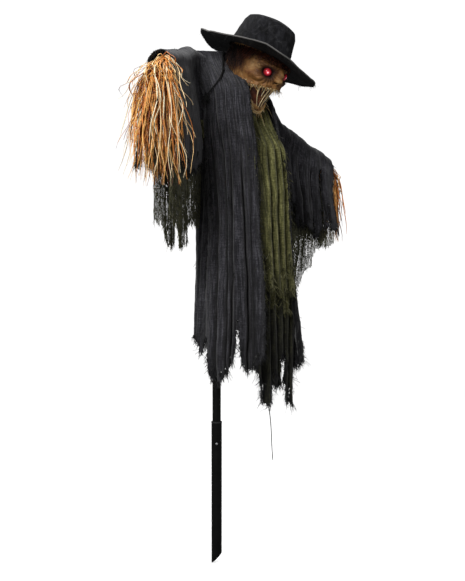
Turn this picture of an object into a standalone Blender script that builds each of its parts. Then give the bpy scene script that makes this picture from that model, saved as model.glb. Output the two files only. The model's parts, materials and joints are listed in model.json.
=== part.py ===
"""Scarecrow figure on a two-piece garden stake.

Metres, +Z up. The origin is the point of the stake, on the pole's axis. The figure faces -Y, so its
right hand is on the -X side. Everything that turns is parented to an empty on its joint's axis.
"""

from math import asin, cos, pi, radians, sin, tan

import bmesh
import bpy
from mathutils import Matrix, Vector

# ---------------------------------------------------------------- driving dimensions
GAP = 0.0003  # between pieces that touch

STAKE_R = 0.0175
STAKE_BORE_R = 0.0152
STAKE_TOP = 0.468
POLE_R = 0.014
POLE_BORE_R = 0.0124
POLE_BOTTOM = 0.335
POLE_TOP = 0.900
BUTTON_Z = 0.400
BUTTON_R = 0.0040
BUTTON_HOLE_R = 0.0046
BUTTON_HEADING = radians(225)  # the button faces front right

SPINE_R = 0.0117
SPINE_WALL = 0.0013
SPINE_BOTTOM = 0.820
SPINE_BEND_R = 0.10

HEAD_PIVOT = Vector((0.0, -0.162, 1.668))  # where the neck axis meets the hat's brim
HEAD_PITCH = radians(33)
HAT_PITCH = radians(-8.9)  # the hat is pushed back a little on the head
HAT_ROLL = radians(13.5)  # and its brim dips on the figure's left
NECK_TOP = -0.050  # the spine's end, measured along the neck axis from the pivot

SKULL = Vector((0.078, 0.106, 0.122))  # half width, half length, half height
SKULL_CENTRE = Vector((0.0, -0.034, -0.030))
SKULL_WALL = 0.003
FACE_SPLIT_Y = -0.045  # the mask and the back shell meet here
EYE = Vector((0.036, -0.112, -0.019))
EYE_R = 0.0125
LIP_Z = -0.058  # the mask's lower edge, above the open mouth
JAW_HALF = 0.052
JAW_REACH = 0.083
JAW_R = 0.0080
CROWN = Vector((0.087, 0.113, 0.112))  # half width, half length, height
CROWN_CENTRE_Y = -0.024
BRIM_R = 0.190
FELT = 0.0028

BAR_CENTRE = Vector((0.0, -0.035, 1.582))
BAR_ROLL = radians(20)  # the shoulder bar slopes down to the figure's left
BAR_R = 0.009
BAR_HALF = 0.140
PIVOT_OUT = 0.168  # from the middle of the bar to an arm's pin
PIN_R = 0.0040
ARM_SWEEP = {"right": radians(30), "left": radians(24)}  # forward of straight out
ARM_DROOP = {"right": radians(19), "left": radians(34)}
ARM_R = 0.008
ARM_REACH = 0.290
STRAW_R = 0.070
SIDES = {"right": -1, "left": 1}

PLATE_T = 0.0026
PLATE_X = SPINE_R + GAP + PLATE_T / 2
LEAD_IN_Z = 1.315
BOLT_ZS = (1.362, 1.386)
BOLT_HEAD = 0.0032

FORK_HALF = 0.0150
FORK_WALL = 0.0030
FORK_REACH = 0.0120
FORK_DEPTH = 0.020
FORK_BACK = -(PIVOT_OUT - BAR_HALF) * cos(BAR_ROLL) + BAR_R * sin(BAR_ROLL) + GAP
LUG_R = 0.0088

SLEEVE_START = 0.070
SLEEVE_MOUTH = 0.285
SLEEVE_DROP = 0.335

CLOTH = 0.003
COAT_TOP = 1.500
COAT_HEM = 0.660

BOX = Vector((0.044, 0.024, 0.064))  # width, depth, height
BOX_CENTRE = Vector((0.0, -0.0262, 1.215))
BOX_WALL = 0.002
CELL_R = 0.00725
CELL_L = 0.0505

COLLECTION = "scarecrow_figure"
CUTTERS = "cutters"
CRISP_ANGLE = radians(35)  # edges sharper than this stay crisp under smooth shading


# ---------------------------------------------------------------- scene and materials
def clear_scene():
    for obj in list(bpy.data.objects):
        bpy.data.objects.remove(obj)
    for name in (COLLECTION, CUTTERS):
        bpy.context.scene.collection.children.link(bpy.data.collections.new(name))


def material(name, colour, roughness, metallic=0.0):
    made = bpy.data.materials.new(name)
    made.use_nodes = True
    shader = made.node_tree.nodes["Principled BSDF"]
    shader.inputs["Base Color"].default_value = (*colour, 1.0)
    shader.inputs["Roughness"].default_value = roughness
    shader.inputs["Metallic"].default_value = metallic
    return made


def make_materials():
    return {
        "tube": material("tube", (0.010, 0.010, 0.010), 0.45, 0.3),
        "steel": material("steel", (0.60, 0.60, 0.62), 0.30, 1.0),
        "plastic": material("plastic", (0.02, 0.02, 0.02), 0.50),
        "mask": material("mask", (0.14, 0.06, 0.015), 0.75),
        "twine": material("twine", (0.45, 0.25, 0.09), 0.90),
        "eye": material("eye", (0.60, 0.005, 0.02), 0.15),
        "felt": material("felt", (0.016, 0.016, 0.020), 0.95),
        "hair": material("hair", (0.045, 0.012, 0.006), 0.85),
        "straw": material("straw", (0.60, 0.25, 0.06), 0.80),
        "coat": material("coat", (0.022, 0.021, 0.026), 0.95),
        "green": material("green", (0.065, 0.065, 0.014), 0.90),
        "gauze": material("gauze", (0.045, 0.045, 0.025), 0.95),
        "wire": material("wire", (0.30, 0.01, 0.01), 0.50),
        "cell": material("cell", (0.02, 0.10, 0.05), 0.35, 0.2),
    }


def keep(obj, look, parent=None, matrix=None, cutter=False):
    """Files an object in its collection, with its material, place and parent."""
    for home in list(obj.users_collection):
        home.objects.unlink(obj)
    bpy.data.collections[CUTTERS if cutter else COLLECTION].objects.link(obj)
    if look is not None:
        obj.data.materials.clear()
        obj.data.materials.append(LOOKS[look])
    if parent is not None:
        obj.parent = parent
    if matrix is not None:
        obj.matrix_local = matrix
    if cutter:
        obj.hide_render = True
        obj.display_type = "WIRE"
    return obj


def empty(name, matrix, parent=None):
    obj = bpy.data.objects.new(name, None)
    bpy.data.collections[COLLECTION].objects.link(obj)
    obj.parent = parent
    obj.matrix_local = matrix
    return obj


def at(x, y, z):
    return Matrix.Translation((x, y, z))


def along(start, direction):
    """A matrix whose +Z runs along direction from start."""
    turn = Vector(direction).to_track_quat("Z", "Y")
    return Matrix.Translation(start) @ turn.to_matrix().to_4x4()


def smoothstep(low, high, value):
    t = min(1.0, max(0.0, (value - low) / (high - low)))
    return t * t * (3 - 2 * t)


# ---------------------------------------------------------------- shapes
def turned(name, profile, look, parent=None, matrix=None, steps=24, cutter=False):
    """A solid of revolution about Z. The profile runs down its outer side, then back up."""
    mesh = bpy.data.meshes.new(name)
    points = [(r, 0.0, z) for r, z in profile]
    edges = [(i, i + 1) for i in range(len(points) - 1)]
    if profile[0][0] > 0:
        edges.append((len(points) - 1, 0))
    mesh.from_pydata(points, edges, [])
    obj = bpy.data.objects.new(name, mesh)
    keep(obj, look, parent, matrix, cutter)
    screw = obj.modifiers.new("turn", "SCREW")
    screw.steps = screw.render_steps = steps
    screw.use_merge_vertices = True
    screw.merge_threshold = 0.00005
    return obj


def ring(name, outer, inner, low, high, look, parent=None, matrix=None, steps=24):
    profile = [(outer, high), (outer, low), (inner, low), (inner, high)]
    return turned(name, profile, look, parent, matrix, steps)


def rod_profile(radius, low, high):
    return [(0.0, high), (radius, high), (radius, low), (0.0, low)]


def rod(name, radius, low, high, look, parent=None, matrix=None, steps=20, cutter=False):
    return turned(name, rod_profile(radius, low, high), look, parent, matrix, steps, cutter)


def block(name, size, look, parent=None, matrix=None, cutter=False):
    bpy.ops.mesh.primitive_cube_add(size=1.0)
    obj = bpy.context.object
    obj.name = name
    obj.data.transform(Matrix.Diagonal((*size, 1.0)))
    return keep(obj, look, parent, matrix, cutter)


def cut(obj, *cutters):
    for cutter in cutters:
        boolean = obj.modifiers.new("cut", "BOOLEAN")
        boolean.operation = "DIFFERENCE"
        boolean.object = cutter


def join(obj, *others):
    for other in others:
        boolean = obj.modifiers.new("join", "BOOLEAN")
        boolean.operation = "UNION"
        boolean.object = other


def wire(name, points, radius, look, parent=None, matrix=None, radii=None, sides=2, cutter=False):
    """A round bar along a line of points."""
    curve = bpy.data.curves.new(name, "CURVE")
    curve.dimensions = "3D"
    curve.bevel_depth = radius
    curve.bevel_resolution = sides
    curve.use_fill_caps = True
    spline = curve.splines.new("POLY")
    spline.points.add(len(points) - 1)
    for i, point in enumerate(points):
        spline.points[i].co = (*point, 1.0)
        spline.points[i].radius = radii[i] if radii else 1.0
    obj = bpy.data.objects.new(name, curve)
    return keep(obj, look, parent, matrix, cutter)


def meshed(obj, look):
    """The same object as a welded mesh, for pieces that are cut, joined or stretched."""
    bpy.context.view_layer.update()
    graph = bpy.context.evaluated_depsgraph_get()
    mesh = bpy.data.meshes.new_from_object(obj.evaluated_get(graph))
    work = bmesh.new()
    work.from_mesh(mesh)
    bmesh.ops.remove_doubles(work, verts=work.verts, dist=0.00001)
    bmesh.ops.recalc_face_normals(work, faces=work.faces)
    work.to_mesh(mesh)
    work.free()
    name, place, parent = obj.name, obj.matrix_local.copy(), obj.parent
    bpy.data.objects.remove(obj)
    return keep(bpy.data.objects.new(name, mesh), look, parent, place)


def sheet(name, place, columns, rows, thickness, look, parent=None, matrix=None, offset=0.0):
    """Cloth or a moulded skin: a grid laid out by place(u, v), u and v from 0 to 1, then thickened."""
    work = bmesh.new()
    bmesh.ops.create_grid(work, x_segments=columns, y_segments=rows, size=0.5)
    for vert in work.verts:
        vert.co = place(vert.co.x + 0.5, vert.co.y + 0.5)
    mesh = bpy.data.meshes.new(name)
    work.to_mesh(mesh)
    work.free()
    obj = bpy.data.objects.new(name, mesh)
    keep(obj, look, parent, matrix)
    solid = obj.modifiers.new("thickness", "SOLIDIFY")
    solid.thickness = thickness
    solid.offset = offset
    return obj


def plate(name, outline, thickness, look, parent=None, matrix=None):
    """A flat outline in XY, closed, extruded evenly about Z = 0."""
    curve = bpy.data.curves.new(name, "CURVE")
    curve.dimensions = "2D"
    curve.fill_mode = "BOTH"
    curve.extrude = thickness / 2
    spline = curve.splines.new("POLY")
    spline.points.add(len(outline) - 1)
    spline.use_cyclic_u = True
    for i, (x, y) in enumerate(outline):
        spline.points[i].co = (x, y, 0.0, 1.0)
    obj = bpy.data.objects.new(name, curve)
    return keep(obj, look, parent, matrix)


def arc(centre, radius, start, end, count):
    """Points on a circular arc, in degrees."""
    turn = [radians(start + (end - start) * i / (count - 1)) for i in range(count)]
    return [(centre[0] + radius * cos(a), centre[1] + radius * sin(a)) for a in turn]


# ---------------------------------------------------------------- stake and pole
def button_direction():
    return Vector((cos(BUTTON_HEADING), sin(BUTTON_HEADING), 0.0))


def button_cutter(name, length):
    out = button_direction()
    start = Vector((0.0, 0.0, BUTTON_Z))
    return rod(name, BUTTON_HOLE_R, 0.0, length, None, matrix=along(start, out), cutter=True)


def build_stake():
    tube = ring("stake_tube", STAKE_R, STAKE_BORE_R, 0.0, STAKE_TOP, "tube", steps=32)
    slant_size = 0.10
    # The foot is sawn at 45 degrees; its point is on the figure's back right.
    foot = Vector((sin(BUTTON_HEADING), -cos(BUTTON_HEADING), 0.0))
    down = (Vector((0, 0, -1)) - foot).normalized()
    centre = Vector((0.0, 0.0, STAKE_R)) + down * slant_size / 2
    slant = block("foot_cutter", (slant_size,) * 3, None, matrix=along(centre, down), cutter=True)
    cut(tube, slant, button_cutter("stake_button_cutter", 2 * STAKE_R))
    lip = STAKE_TOP + 0.0042
    profile = [
        (STAKE_R + 0.0006, lip),
        (STAKE_R + 0.0006, STAKE_TOP + GAP),
        (STAKE_BORE_R - GAP, STAKE_TOP + GAP),
        (STAKE_BORE_R - GAP, STAKE_TOP - 0.022),
        (POLE_R + GAP, STAKE_TOP - 0.022),
        (POLE_R + GAP, lip),
    ]
    turned("stake_bush", profile, "plastic", steps=32)


def build_pole():
    pole = ring("pole_tube", POLE_R, POLE_BORE_R, POLE_BOTTOM, POLE_TOP, "tube", steps=32)
    cut(pole, button_cutter("pole_button_cutter", 2 * STAKE_R))
    screw_z = POLE_TOP - 0.030
    cut(pole, rod("pole_screw_cutter", 0.0024, 0.0, 0.03, None,
                  matrix=along((0, 0, screw_z), (0, 1, 0)), cutter=True))
    return screw_z


def build_button():
    out = button_direction()
    start = Vector((0.0, 0.0, BUTTON_Z))
    reach = STAKE_R + 0.0022
    profile = [
        (0.0, reach),
        (BUTTON_R * 0.55, reach - 0.0004),
        (BUTTON_R * 0.9, reach - 0.0014),
        (BUTTON_R, reach - 0.0028),
        (BUTTON_R, 0.0100),
        (BUTTON_R + 0.0014, 0.0096),
        (BUTTON_R + 0.0014, 0.0086),
        (0.0, 0.0086),
    ]
    turned("snap_button", profile, "steel", matrix=along(start, out), steps=20)
    # A bent strip of spring steel inside the pole carries the button.
    strip = 0.0010
    outer = [(0.0082, 0.010)] + arc((-0.0008, -0.034), 0.0090, 0, -180, 9) + [(-0.0104, 0.012)]
    inner = [(-0.0104 + strip, 0.012)] + arc((-0.0008, -0.034), 0.0090 - strip, -180, 0, 9)
    outline = outer + inner + [(0.0082 - strip, 0.010)]
    side = Vector((0, 0, 1)).cross(out)
    frame = Matrix((out, (0, 0, 1), side)).transposed().to_4x4()
    plate("button_spring", outline, 0.009, "steel", matrix=Matrix.Translation(start) @ frame)


# ---------------------------------------------------------------- spine and shoulders
def neck_axis():
    return Vector((0.0, -sin(HEAD_PITCH), cos(HEAD_PITCH)))


def spine_line(start_z, end_along, inset=0.0):
    """Straight up, one bend forward, then along the neck's axis; inset moves it to the bend's inside."""
    axis = neck_axis()
    corner = HEAD_PIVOT - axis * (HEAD_PIVOT.y / axis.y)
    low = corner.z - SPINE_BEND_R * tan(HEAD_PITCH / 2)
    centre = Vector((0.0, -SPINE_BEND_R, low))
    radius = SPINE_BEND_R - inset
    points = [Vector((0.0, -inset, start_z)), Vector((0.0, -inset, low))]
    bends = 6
    for i in range(1, bends + 1):
        turn = HEAD_PITCH * i / bends
        points.append(centre + Vector((0.0, radius * cos(turn), radius * sin(turn))))
    across = Vector((0.0, -cos(HEAD_PITCH), -sin(HEAD_PITCH)))
    points.append(HEAD_PIVOT + axis * end_along + across * inset)
    return points


def build_spine(screw_z):
    line = spine_line(SPINE_BOTTOM, NECK_TOP - GAP)
    skin = wire("spine_tube", line, SPINE_R, "tube", sides=5)
    skin.data.use_fill_caps = False
    spine = meshed(skin, "tube")
    wall = spine.modifiers.new("wall", "SOLIDIFY")
    wall.thickness = SPINE_WALL
    wall.offset = -1.0
    hole = along((0, 0, screw_z), (0, 1, 0))
    cut(spine, rod("spine_screw_cutter", 0.0024, 0.0, 0.03, None, matrix=hole, cutter=True))
    lead_in = rod("lead_cutter", 0.0055, 0.0, 0.03, None, cutter=True,
                  matrix=along((0, 0, LEAD_IN_Z), (0, -1, 0)))
    bolts = [bolt_place(z) for z in BOLT_ZS]
    cutters = [rod("bolt_cutter", 0.0026, -0.03, 0.03, None, matrix=m, cutter=True) for m in bolts]
    cut(spine, lead_in, *cutters)
    head = POLE_R + GAP
    profile = [
        (0.0, head + 0.0026),
        (0.0030, head + 0.0022),
        (0.0042, head),
        (0.0021, head),
        (0.0021, 0.0080),
        (0.0, 0.0065),
    ]
    turned("pole_screw", profile, "steel", matrix=hole, steps=16)


def bolt_place(z):
    return along((0.0, 0.0, z), (1, 0, 0))


def build_shoulder_plates():
    """Two flat steel plates clasp the spine and carry the shoulder bar behind the neck."""
    low, top = Vector((0.0, 1.345)), Vector((BAR_CENTRE.y, BAR_CENTRE.z))
    outline = [(0.016, low.y), (0.016, 1.400)]
    outline += arc((top.x, top.y), 0.021, 10, 190, 9)
    outline += [(-0.016, 1.400), (-0.016, low.y)]
    for side, sign in SIDES.items():
        frame = Matrix(((0, 0, 1), (1, 0, 0), (0, 1, 0))).to_4x4()
        place = at(sign * PLATE_X, 0, 0) @ frame
        obj = meshed(plate(f"{side}_shoulder_plate", outline, PLATE_T, "tube", matrix=place), "tube")
        holes = [rod("plate_cutter", 0.0026, -0.03, 0.03, None, matrix=bolt_place(z), cutter=True)
                 for z in BOLT_ZS]
        bar = rod("bar_cutter", BAR_R + GAP, -0.03, 0.03, None, cutter=True,
                  matrix=Matrix.Translation(BAR_CENTRE) @ along((0, 0, 0), bar_direction(1)))
        cut(obj, bar, *holes)
    face = PLATE_X + PLATE_T / 2 + GAP
    profile = [
        (0.0, face + BOLT_HEAD),
        (0.0045, face + BOLT_HEAD),
        (0.0045, face),
        (0.0023, face),
        (0.0023, -face),
        (0.0045, -face),
        (0.0045, -face - BOLT_HEAD),
        (0.0, -face - BOLT_HEAD),
    ]
    for name, z in zip(("lower_bolt", "upper_bolt"), BOLT_ZS):
        turned(name, profile, "steel", matrix=bolt_place(z), steps=12)


def bar_direction(sign):
    """From the middle of the shoulder bar to its end on that side."""
    return Vector((sign * cos(BAR_ROLL), 0.0, -sign * sin(BAR_ROLL)))


def bar_frame(sign):
    return Matrix.Translation(BAR_CENTRE) @ along((0, 0, 0), bar_direction(sign))


def pivot_place(sign):
    return BAR_CENTRE + bar_direction(sign) * PIVOT_OUT


def build_shoulder_bar():
    ring("shoulder_bar", BAR_R, BAR_R - 0.0016, -BAR_HALF, BAR_HALF, "tube", matrix=bar_frame(1))
    for side, sign in SIDES.items():
        build_fork(side, sign)


def build_fork(side, sign):
    """A fork welded to the bar's end holds the arm's upright pin."""
    pivot = Matrix.Translation(pivot_place(sign))
    inside = FORK_HALF - FORK_WALL
    outline = [
        (FORK_BACK, FORK_HALF),
        (FORK_REACH, FORK_HALF),
        (FORK_REACH, inside),
        (FORK_BACK + FORK_WALL, inside),
        (FORK_BACK + FORK_WALL, -inside),
        (FORK_REACH, -inside),
        (FORK_REACH, -FORK_HALF),
        (FORK_BACK, -FORK_HALF),
    ]
    outline = [(sign * x, y) for x, y in outline]
    frame = Matrix(((1, 0, 0), (0, 0, -1), (0, 1, 0))).to_4x4()
    fork = meshed(plate(f"{side}_fork", outline, FORK_DEPTH, "tube", matrix=pivot @ frame), "tube")
    cut(fork, rod("fork_cutter", PIN_R + GAP, -0.03, 0.03, None, matrix=pivot, cutter=True))
    # The upright pin is riveted over at both ends.
    face = FORK_HALF + GAP
    profile = [
        (0.0, face + 0.0028),
        (0.0045, face + 0.0022),
        (0.0065, face),
        (PIN_R, face),
        (PIN_R, -face),
        (0.0065, -face),
        (0.0045, -face - 0.0022),
        (0.0, -face - 0.0028),
    ]
    turned(f"{side}_arm_pin", profile, "steel", matrix=pivot, steps=16)


# ---------------------------------------------------------------- arms
def arm_frame(side, sign):
    """At the pin, with +X out along the arm and +Z up."""
    sweep = ARM_SWEEP[side]
    heading = pi + sweep if sign < 0 else -sweep
    return Matrix.Translation(pivot_place(sign)) @ Matrix.Rotation(heading, 4, "Z")


def arm_height(side, x):
    """Height of the arm's centre line at x, from the pin: level at first, then drooping."""
    return -max(0.0, x - 0.030) * tan(ARM_DROOP[side])


def build_arm(side, sign):
    pivot = empty(f"{side}_arm_swing", arm_frame(side, sign))
    line = [(x, 0.0, arm_height(side, x)) for x in (0.0050, 0.0290, 0.0320, 0.16, ARM_REACH)]
    arm = meshed(wire(f"{side}_arm", line, ARM_R, "tube", pivot), "tube")
    lug_half = FORK_HALF - FORK_WALL - GAP
    join(arm, rod("lug", LUG_R, -lug_half, lug_half, None, pivot, cutter=True))
    cut(arm, rod("lug_cutter", PIN_R + GAP, -0.03, 0.03, None, pivot, cutter=True))
    build_straw(side, pivot)
    build_sleeve(side, pivot)
    build_sleeve_gauze(side, pivot)


def build_straw(side, pivot):
    """A bundle of raffia is bound to the arm's end and falls from it."""
    droop = ARM_DROOP[side]
    out = Vector((cos(droop), 0.0, -sin(droop)))
    end = Vector((ARM_REACH, 0.0, arm_height(side, ARM_REACH)))
    line = [
        end + out * 0.0006,
        end + out * 0.0140,
        end + Vector((0.030, 0.0, -0.050)),
        end + Vector((0.041, 0.0, -0.140)),
        end + Vector((0.043, 0.0, -0.300)),
    ]
    wire(f"{side}_straw_hand", line, STRAW_R, "straw", pivot, radii=(0.22, 0.30, 0.62, 1.0, 0.95),
         sides=4)
    place = Matrix.Translation(end - out * 0.007) @ Matrix.Rotation(pi / 2 + droop, 4, "Y")
    ring(f"{side}_straw_tie", 0.0125, ARM_R + GAP, -0.0065, 0.0065, "twine", pivot, place, steps=16)


def build_sleeve(side, pivot):
    """Folded over the arm like a saddle cloth, with its mouth round the straw."""
    fold = 0.20

    def place(u, v):
        turn = 2 * abs(v - 0.5)
        mouth = SLEEVE_MOUTH - 0.032 * smoothstep(0.15, 0.35, turn)
        start = SLEEVE_START - 0.012 * smoothstep(0.25, 0.0, turn)
        x = start + (mouth - start) * u
        half = 0.034 + 0.009 * smoothstep(0.2, 1.0, turn)
        if turn < fold:
            angle = turn / fold * pi / 2
            y, z = half * sin(angle), half * cos(angle)
        else:
            y, z = half, -SLEEVE_DROP * (turn - fold) / (1 - fold)
        return Vector((x, y if v > 0.5 else -y, z + arm_height(side, x)))

    sheet(f"{side}_sleeve", place, 3, 16, CLOTH, "coat", pivot)


def build_sleeve_gauze(side, pivot):
    """Loose cheesecloth hangs below the sleeve."""
    length = 0.160

    def place(u, v):
        x = SLEEVE_START + 0.155 * u
        z = -SLEEVE_DROP - 0.012 - length * v + arm_height(side, x)
        return Vector((x, 0.012 * sin(u * 3 * pi), z))

    sheet(f"{side}_sleeve_gauze", place, 8, 3, CLOTH, "gauze", pivot)


# ---------------------------------------------------------------- head
def ellipsoid_skin(name, look, parent, low_y, high_y, low_z, high_z):
    """Part of the skull's ellipsoid, kept between two planes each way, as a shell."""
    bpy.ops.mesh.primitive_uv_sphere_add(segments=24, ring_count=14, radius=1.0)
    obj = bpy.context.object
    obj.name = name
    obj.data.transform(Matrix.Translation(SKULL_CENTRE) @ Matrix.Diagonal((*SKULL, 1.0)))
    work = bmesh.new()
    work.from_mesh(obj.data)
    for point, normal in (
        ((0, low_y, 0), (0, -1, 0)),
        ((0, high_y, 0), (0, 1, 0)),
        ((0, 0, low_z), (0, 0, -1)),
        ((0, 0, high_z), (0, 0, 1)),
    ):
        geometry = work.verts[:] + work.edges[:] + work.faces[:]
        bmesh.ops.bisect_plane(work, geom=geometry, dist=1e-6, plane_co=point, plane_no=normal,
                               clear_outer=True)
    work.to_mesh(obj.data)
    work.free()
    keep(obj, look, parent)
    solid = obj.modifiers.new("wall", "SOLIDIFY")
    solid.thickness = SKULL_WALL
    solid.offset = -1.0
    return obj


def build_head(pivot):
    far = 1.0
    ellipsoid_skin("skull_shell", "plastic", pivot, FACE_SPLIT_Y + GAP, far, -0.112, far)
    mask = ellipsoid_skin("face_mask", "mask", pivot, -far, FACE_SPLIT_Y - GAP, LIP_Z, 0.040)
    cutters = []
    for side, sign in SIDES.items():
        place = at(sign * EYE.x, 0.0, EYE.z)
        forward = Matrix.Rotation(pi / 2, 4, "X")
        cutters.append(rod("eye_cutter", EYE_R + 0.0030, 0.05, 0.20, None, pivot,
                           place @ forward, cutter=True))
        build_eye(side, sign, pivot)
    cut(mask, *cutters)
    build_eye_leads(pivot)
    build_jaw(pivot)
    build_neck_socket(pivot)


def build_eye(side, sign, pivot):
    """A clear red lens, with its light-emitting diode in a holder behind it."""
    bpy.ops.mesh.primitive_uv_sphere_add(segments=12, ring_count=8, radius=EYE_R)
    lens = bpy.context.object
    lens.name = f"{side}_eye_lens"
    keep(lens, "eye", pivot, at(sign * EYE.x, EYE.y, EYE.z))
    back = EYE.y + EYE_R + GAP
    place = Matrix.Translation((sign * EYE.x, back, EYE.z)) @ Matrix.Rotation(-pi / 2, 4, "X")
    profile = [(0.0, 0.011), (0.0075, 0.011), (0.0090, 0.0), (0.0, 0.0)]
    turned(f"{side}_led_holder", profile, "plastic", pivot, place, steps=16)


def build_eye_leads(pivot):
    """A lead runs from each lamp to the connector on the neck's axis, where the two meet."""
    halves = []
    back = EYE.y + EYE_R + GAP
    for side, sign in SIDES.items():
        line = [
            (sign * EYE.x, back + 0.0115, EYE.z),
            (sign * EYE.x, back + 0.022, EYE.z - 0.002),
            (sign * EYE.x * 0.8, back + 0.045, EYE.z - 0.004),
            (sign * EYE.x * 0.4, -0.014, EYE.z - 0.004),
            (0.0, -0.001, EYE.z - 0.004),
            (-sign * 0.003, 0.002, EYE.z - 0.004),
        ]
        halves.append(meshed(wire(f"{side}_lead", line, 0.0012, "wire", pivot, sides=1), "wire"))
    leads, half = halves
    leads.name = "eye_leads"
    tail = [(0.0, 0.0, EYE.z - 0.0045), (0.0, 0.0, -0.0320)]
    tail = meshed(wire("lead_tail", tail, 0.0018, "wire", pivot, sides=1), "wire")
    for piece in (half, tail):
        keep(piece, None, cutter=True)
    join(leads, half, tail)


def jaw_point(turn, outward=0.0):
    """A point on the jaw's line: turn runs from -pi/2 at its right end to pi/2 at its left."""
    front = max(0.0, cos(turn))
    point = Vector((JAW_HALF * sin(turn), -0.040 - JAW_REACH * front, -0.094 - 0.052 * front ** 1.5))
    normal = Vector((sin(turn) / JAW_HALF, -cos(turn) / JAW_REACH, 0.0)).normalized()
    return point + normal * outward


def build_jaw(pivot):
    """The lower jaw hangs open. One twine is laced up and down between it and the mask."""
    steps = 12
    line = [jaw_point(-pi / 2 + pi * i / steps) for i in range(steps + 1)]
    wire("jaw", line, JAW_R, "mask", pivot, sides=3)
    lacing = []
    stitches = 9
    for i in range(stitches):
        share = -1 + 2 * i / (stitches - 1)
        upper = Vector((0.038 * share, -0.132 + 0.028 * share ** 2, LIP_Z - 0.0022))
        lower = jaw_point(asin(0.86 * share), JAW_R + 0.0020)
        lacing += [upper, lower] if i % 2 else [lower, upper]
    wire("mouth_lacing", lacing, 0.0012, "twine", pivot, sides=1)


def build_neck_socket(pivot):
    """The head's socket turns on the end of the spine, and its lip rests on that end."""
    bore = SPINE_R + 0.0005
    profile = [
        (0.0185, NECK_TOP + 0.0040),
        (0.0185, -0.0915),
        (0.0300, -0.0915),
        (0.0300, -0.0955),
        (bore, -0.0955),
        (bore, NECK_TOP),
        (0.0070, NECK_TOP),
        (0.0070, NECK_TOP + 0.0040),
    ]
    turned("neck_socket", profile, "plastic", pivot, steps=28)
    rod("neck_connector", 0.0055, NECK_TOP + 0.0006, -0.0325, "plastic", pivot, steps=16)
    disc = turned("head_base", rod_profile(1.0, -0.0995, -0.0958), "plastic", pivot, steps=32)
    base = meshed(disc, "plastic")
    shape = Matrix.Diagonal((SKULL.x * 0.52, SKULL.y * 0.56, 1.0, 1.0))
    base.data.transform(at(0, SKULL_CENTRE.y, 0) @ shape)
    cut(base, rod("base_cutter", bore + 0.0004, -0.12, -0.08, None, pivot, cutter=True))


def build_hair(pivot):
    """Two locks of hair hang from under the hat, one over each ear."""
    for side, sign in SIDES.items():
        top = -0.027 - 0.012 * sign  # lower on the side where the brim dips

        def place(u, v, sign=sign, top=top):
            angle = radians(52 + 76 * u)
            x = sign * (SKULL.x + 0.0070) * sin(angle)
            y = CROWN_CENTRE_Y - 0.004 - (SKULL.y + 0.0055) * cos(angle)
            return Vector((x, y, top - 0.068 * v))

        sheet(f"{side}_hair", place, 8, 3, 0.0030, "hair", pivot)


# ---------------------------------------------------------------- hat
def build_hat(pivot):
    seat = Matrix.Rotation(HAT_ROLL, 4, "Y") @ Matrix.Rotation(HAT_PITCH, 4, "X")
    hat = empty("hat_seat", seat, pivot)
    top, base = CROWN.z, FELT / 2 + 4 * GAP
    shape = ((0.0, top - 0.004), (0.30, top), (0.60, top - 0.002), (0.80, 0.100), (0.90, 0.080),
             (0.955, 0.050), (0.985, 0.020), (1.0, base))
    outer = [(CROWN.x * share, z) for share, z in shape]
    inner = []
    for r, z in reversed(outer):
        roof = smoothstep(0.060, 0.105, z)
        inner.append((max(0.0, r - FELT * (1 - roof)), z - FELT * roof))
    crown = meshed(turned("hat_crown", outer + inner, "felt", hat, steps=24), "felt")
    crown.data.transform(at(0, CROWN_CENTRE_Y, 0) @ Matrix.Diagonal((1.0, CROWN.y / CROWN.x, 1.0, 1.0)))

    def place(u, v):
        angle = 2 * pi * u
        inner_x, inner_y = CROWN.x - FELT, CROWN.y - FELT * CROWN.y / CROWN.x
        x = (inner_x + (BRIM_R - inner_x) * v) * sin(angle)
        y = (inner_y + (BRIM_R + 0.006 - inner_y) * v) * cos(angle)
        return Vector((x, CROWN_CENTRE_Y + y, brim_height(angle, v)))

    brim = sheet("hat_brim", place, 32, 3, FELT, "felt", hat)
    weld = bmesh.new()
    weld.from_mesh(brim.data)
    bmesh.ops.remove_doubles(weld, verts=weld.verts, dist=0.00005)
    bmesh.ops.recalc_face_normals(weld, faces=weld.faces)
    weld.to_mesh(brim.data)
    weld.free()


def brim_height(angle, v):
    """The brim droops, most at the back and on the figure's right. Angle 0 is the back."""
    droop = 0.010 + 0.006 * cos(angle) - 0.004 * sin(angle)
    return -droop * smoothstep(0.0, 1.0, v)


# ---------------------------------------------------------------- clothes
def coat_point(angle, z, shrink=0.0):
    """A point on the coat's outline. Angle 0 is the middle of the back, pi the front."""
    fall = (COAT_TOP - z) / (COAT_TOP - COAT_HEM)
    half_x = 0.150 + 0.030 * fall - shrink
    half_y = 0.118 + 0.030 * smoothstep(0.0, 0.5, fall) - shrink
    centre_y = 0.026 - shrink - half_y
    power = 0.78
    x = half_x * abs(sin(angle)) ** power * (1 if sin(angle) > 0 else -1)
    y = half_y * abs(cos(angle)) ** power * (1 if cos(angle) > 0 else -1)
    return Vector((x, centre_y + y, z))


def build_coat():
    spans = {
        "coat_back": (-92, 92, 16),
        "coat_front_right": (-94, -157, 6),
        "coat_front_left": (94, 157, 6),
    }
    for name, (start, end, columns) in spans.items():

        def place(u, v, start=start, end=end):
            angle = radians(start + (end - start) * u)
            return coat_point(angle, COAT_TOP + (COAT_HEM - COAT_TOP) * v)

        sheet(name, place, columns, 4, CLOTH, "coat")
    for side, sign in SIDES.items():
        build_coat_shoulder(side, sign)
    build_collar()


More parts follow.
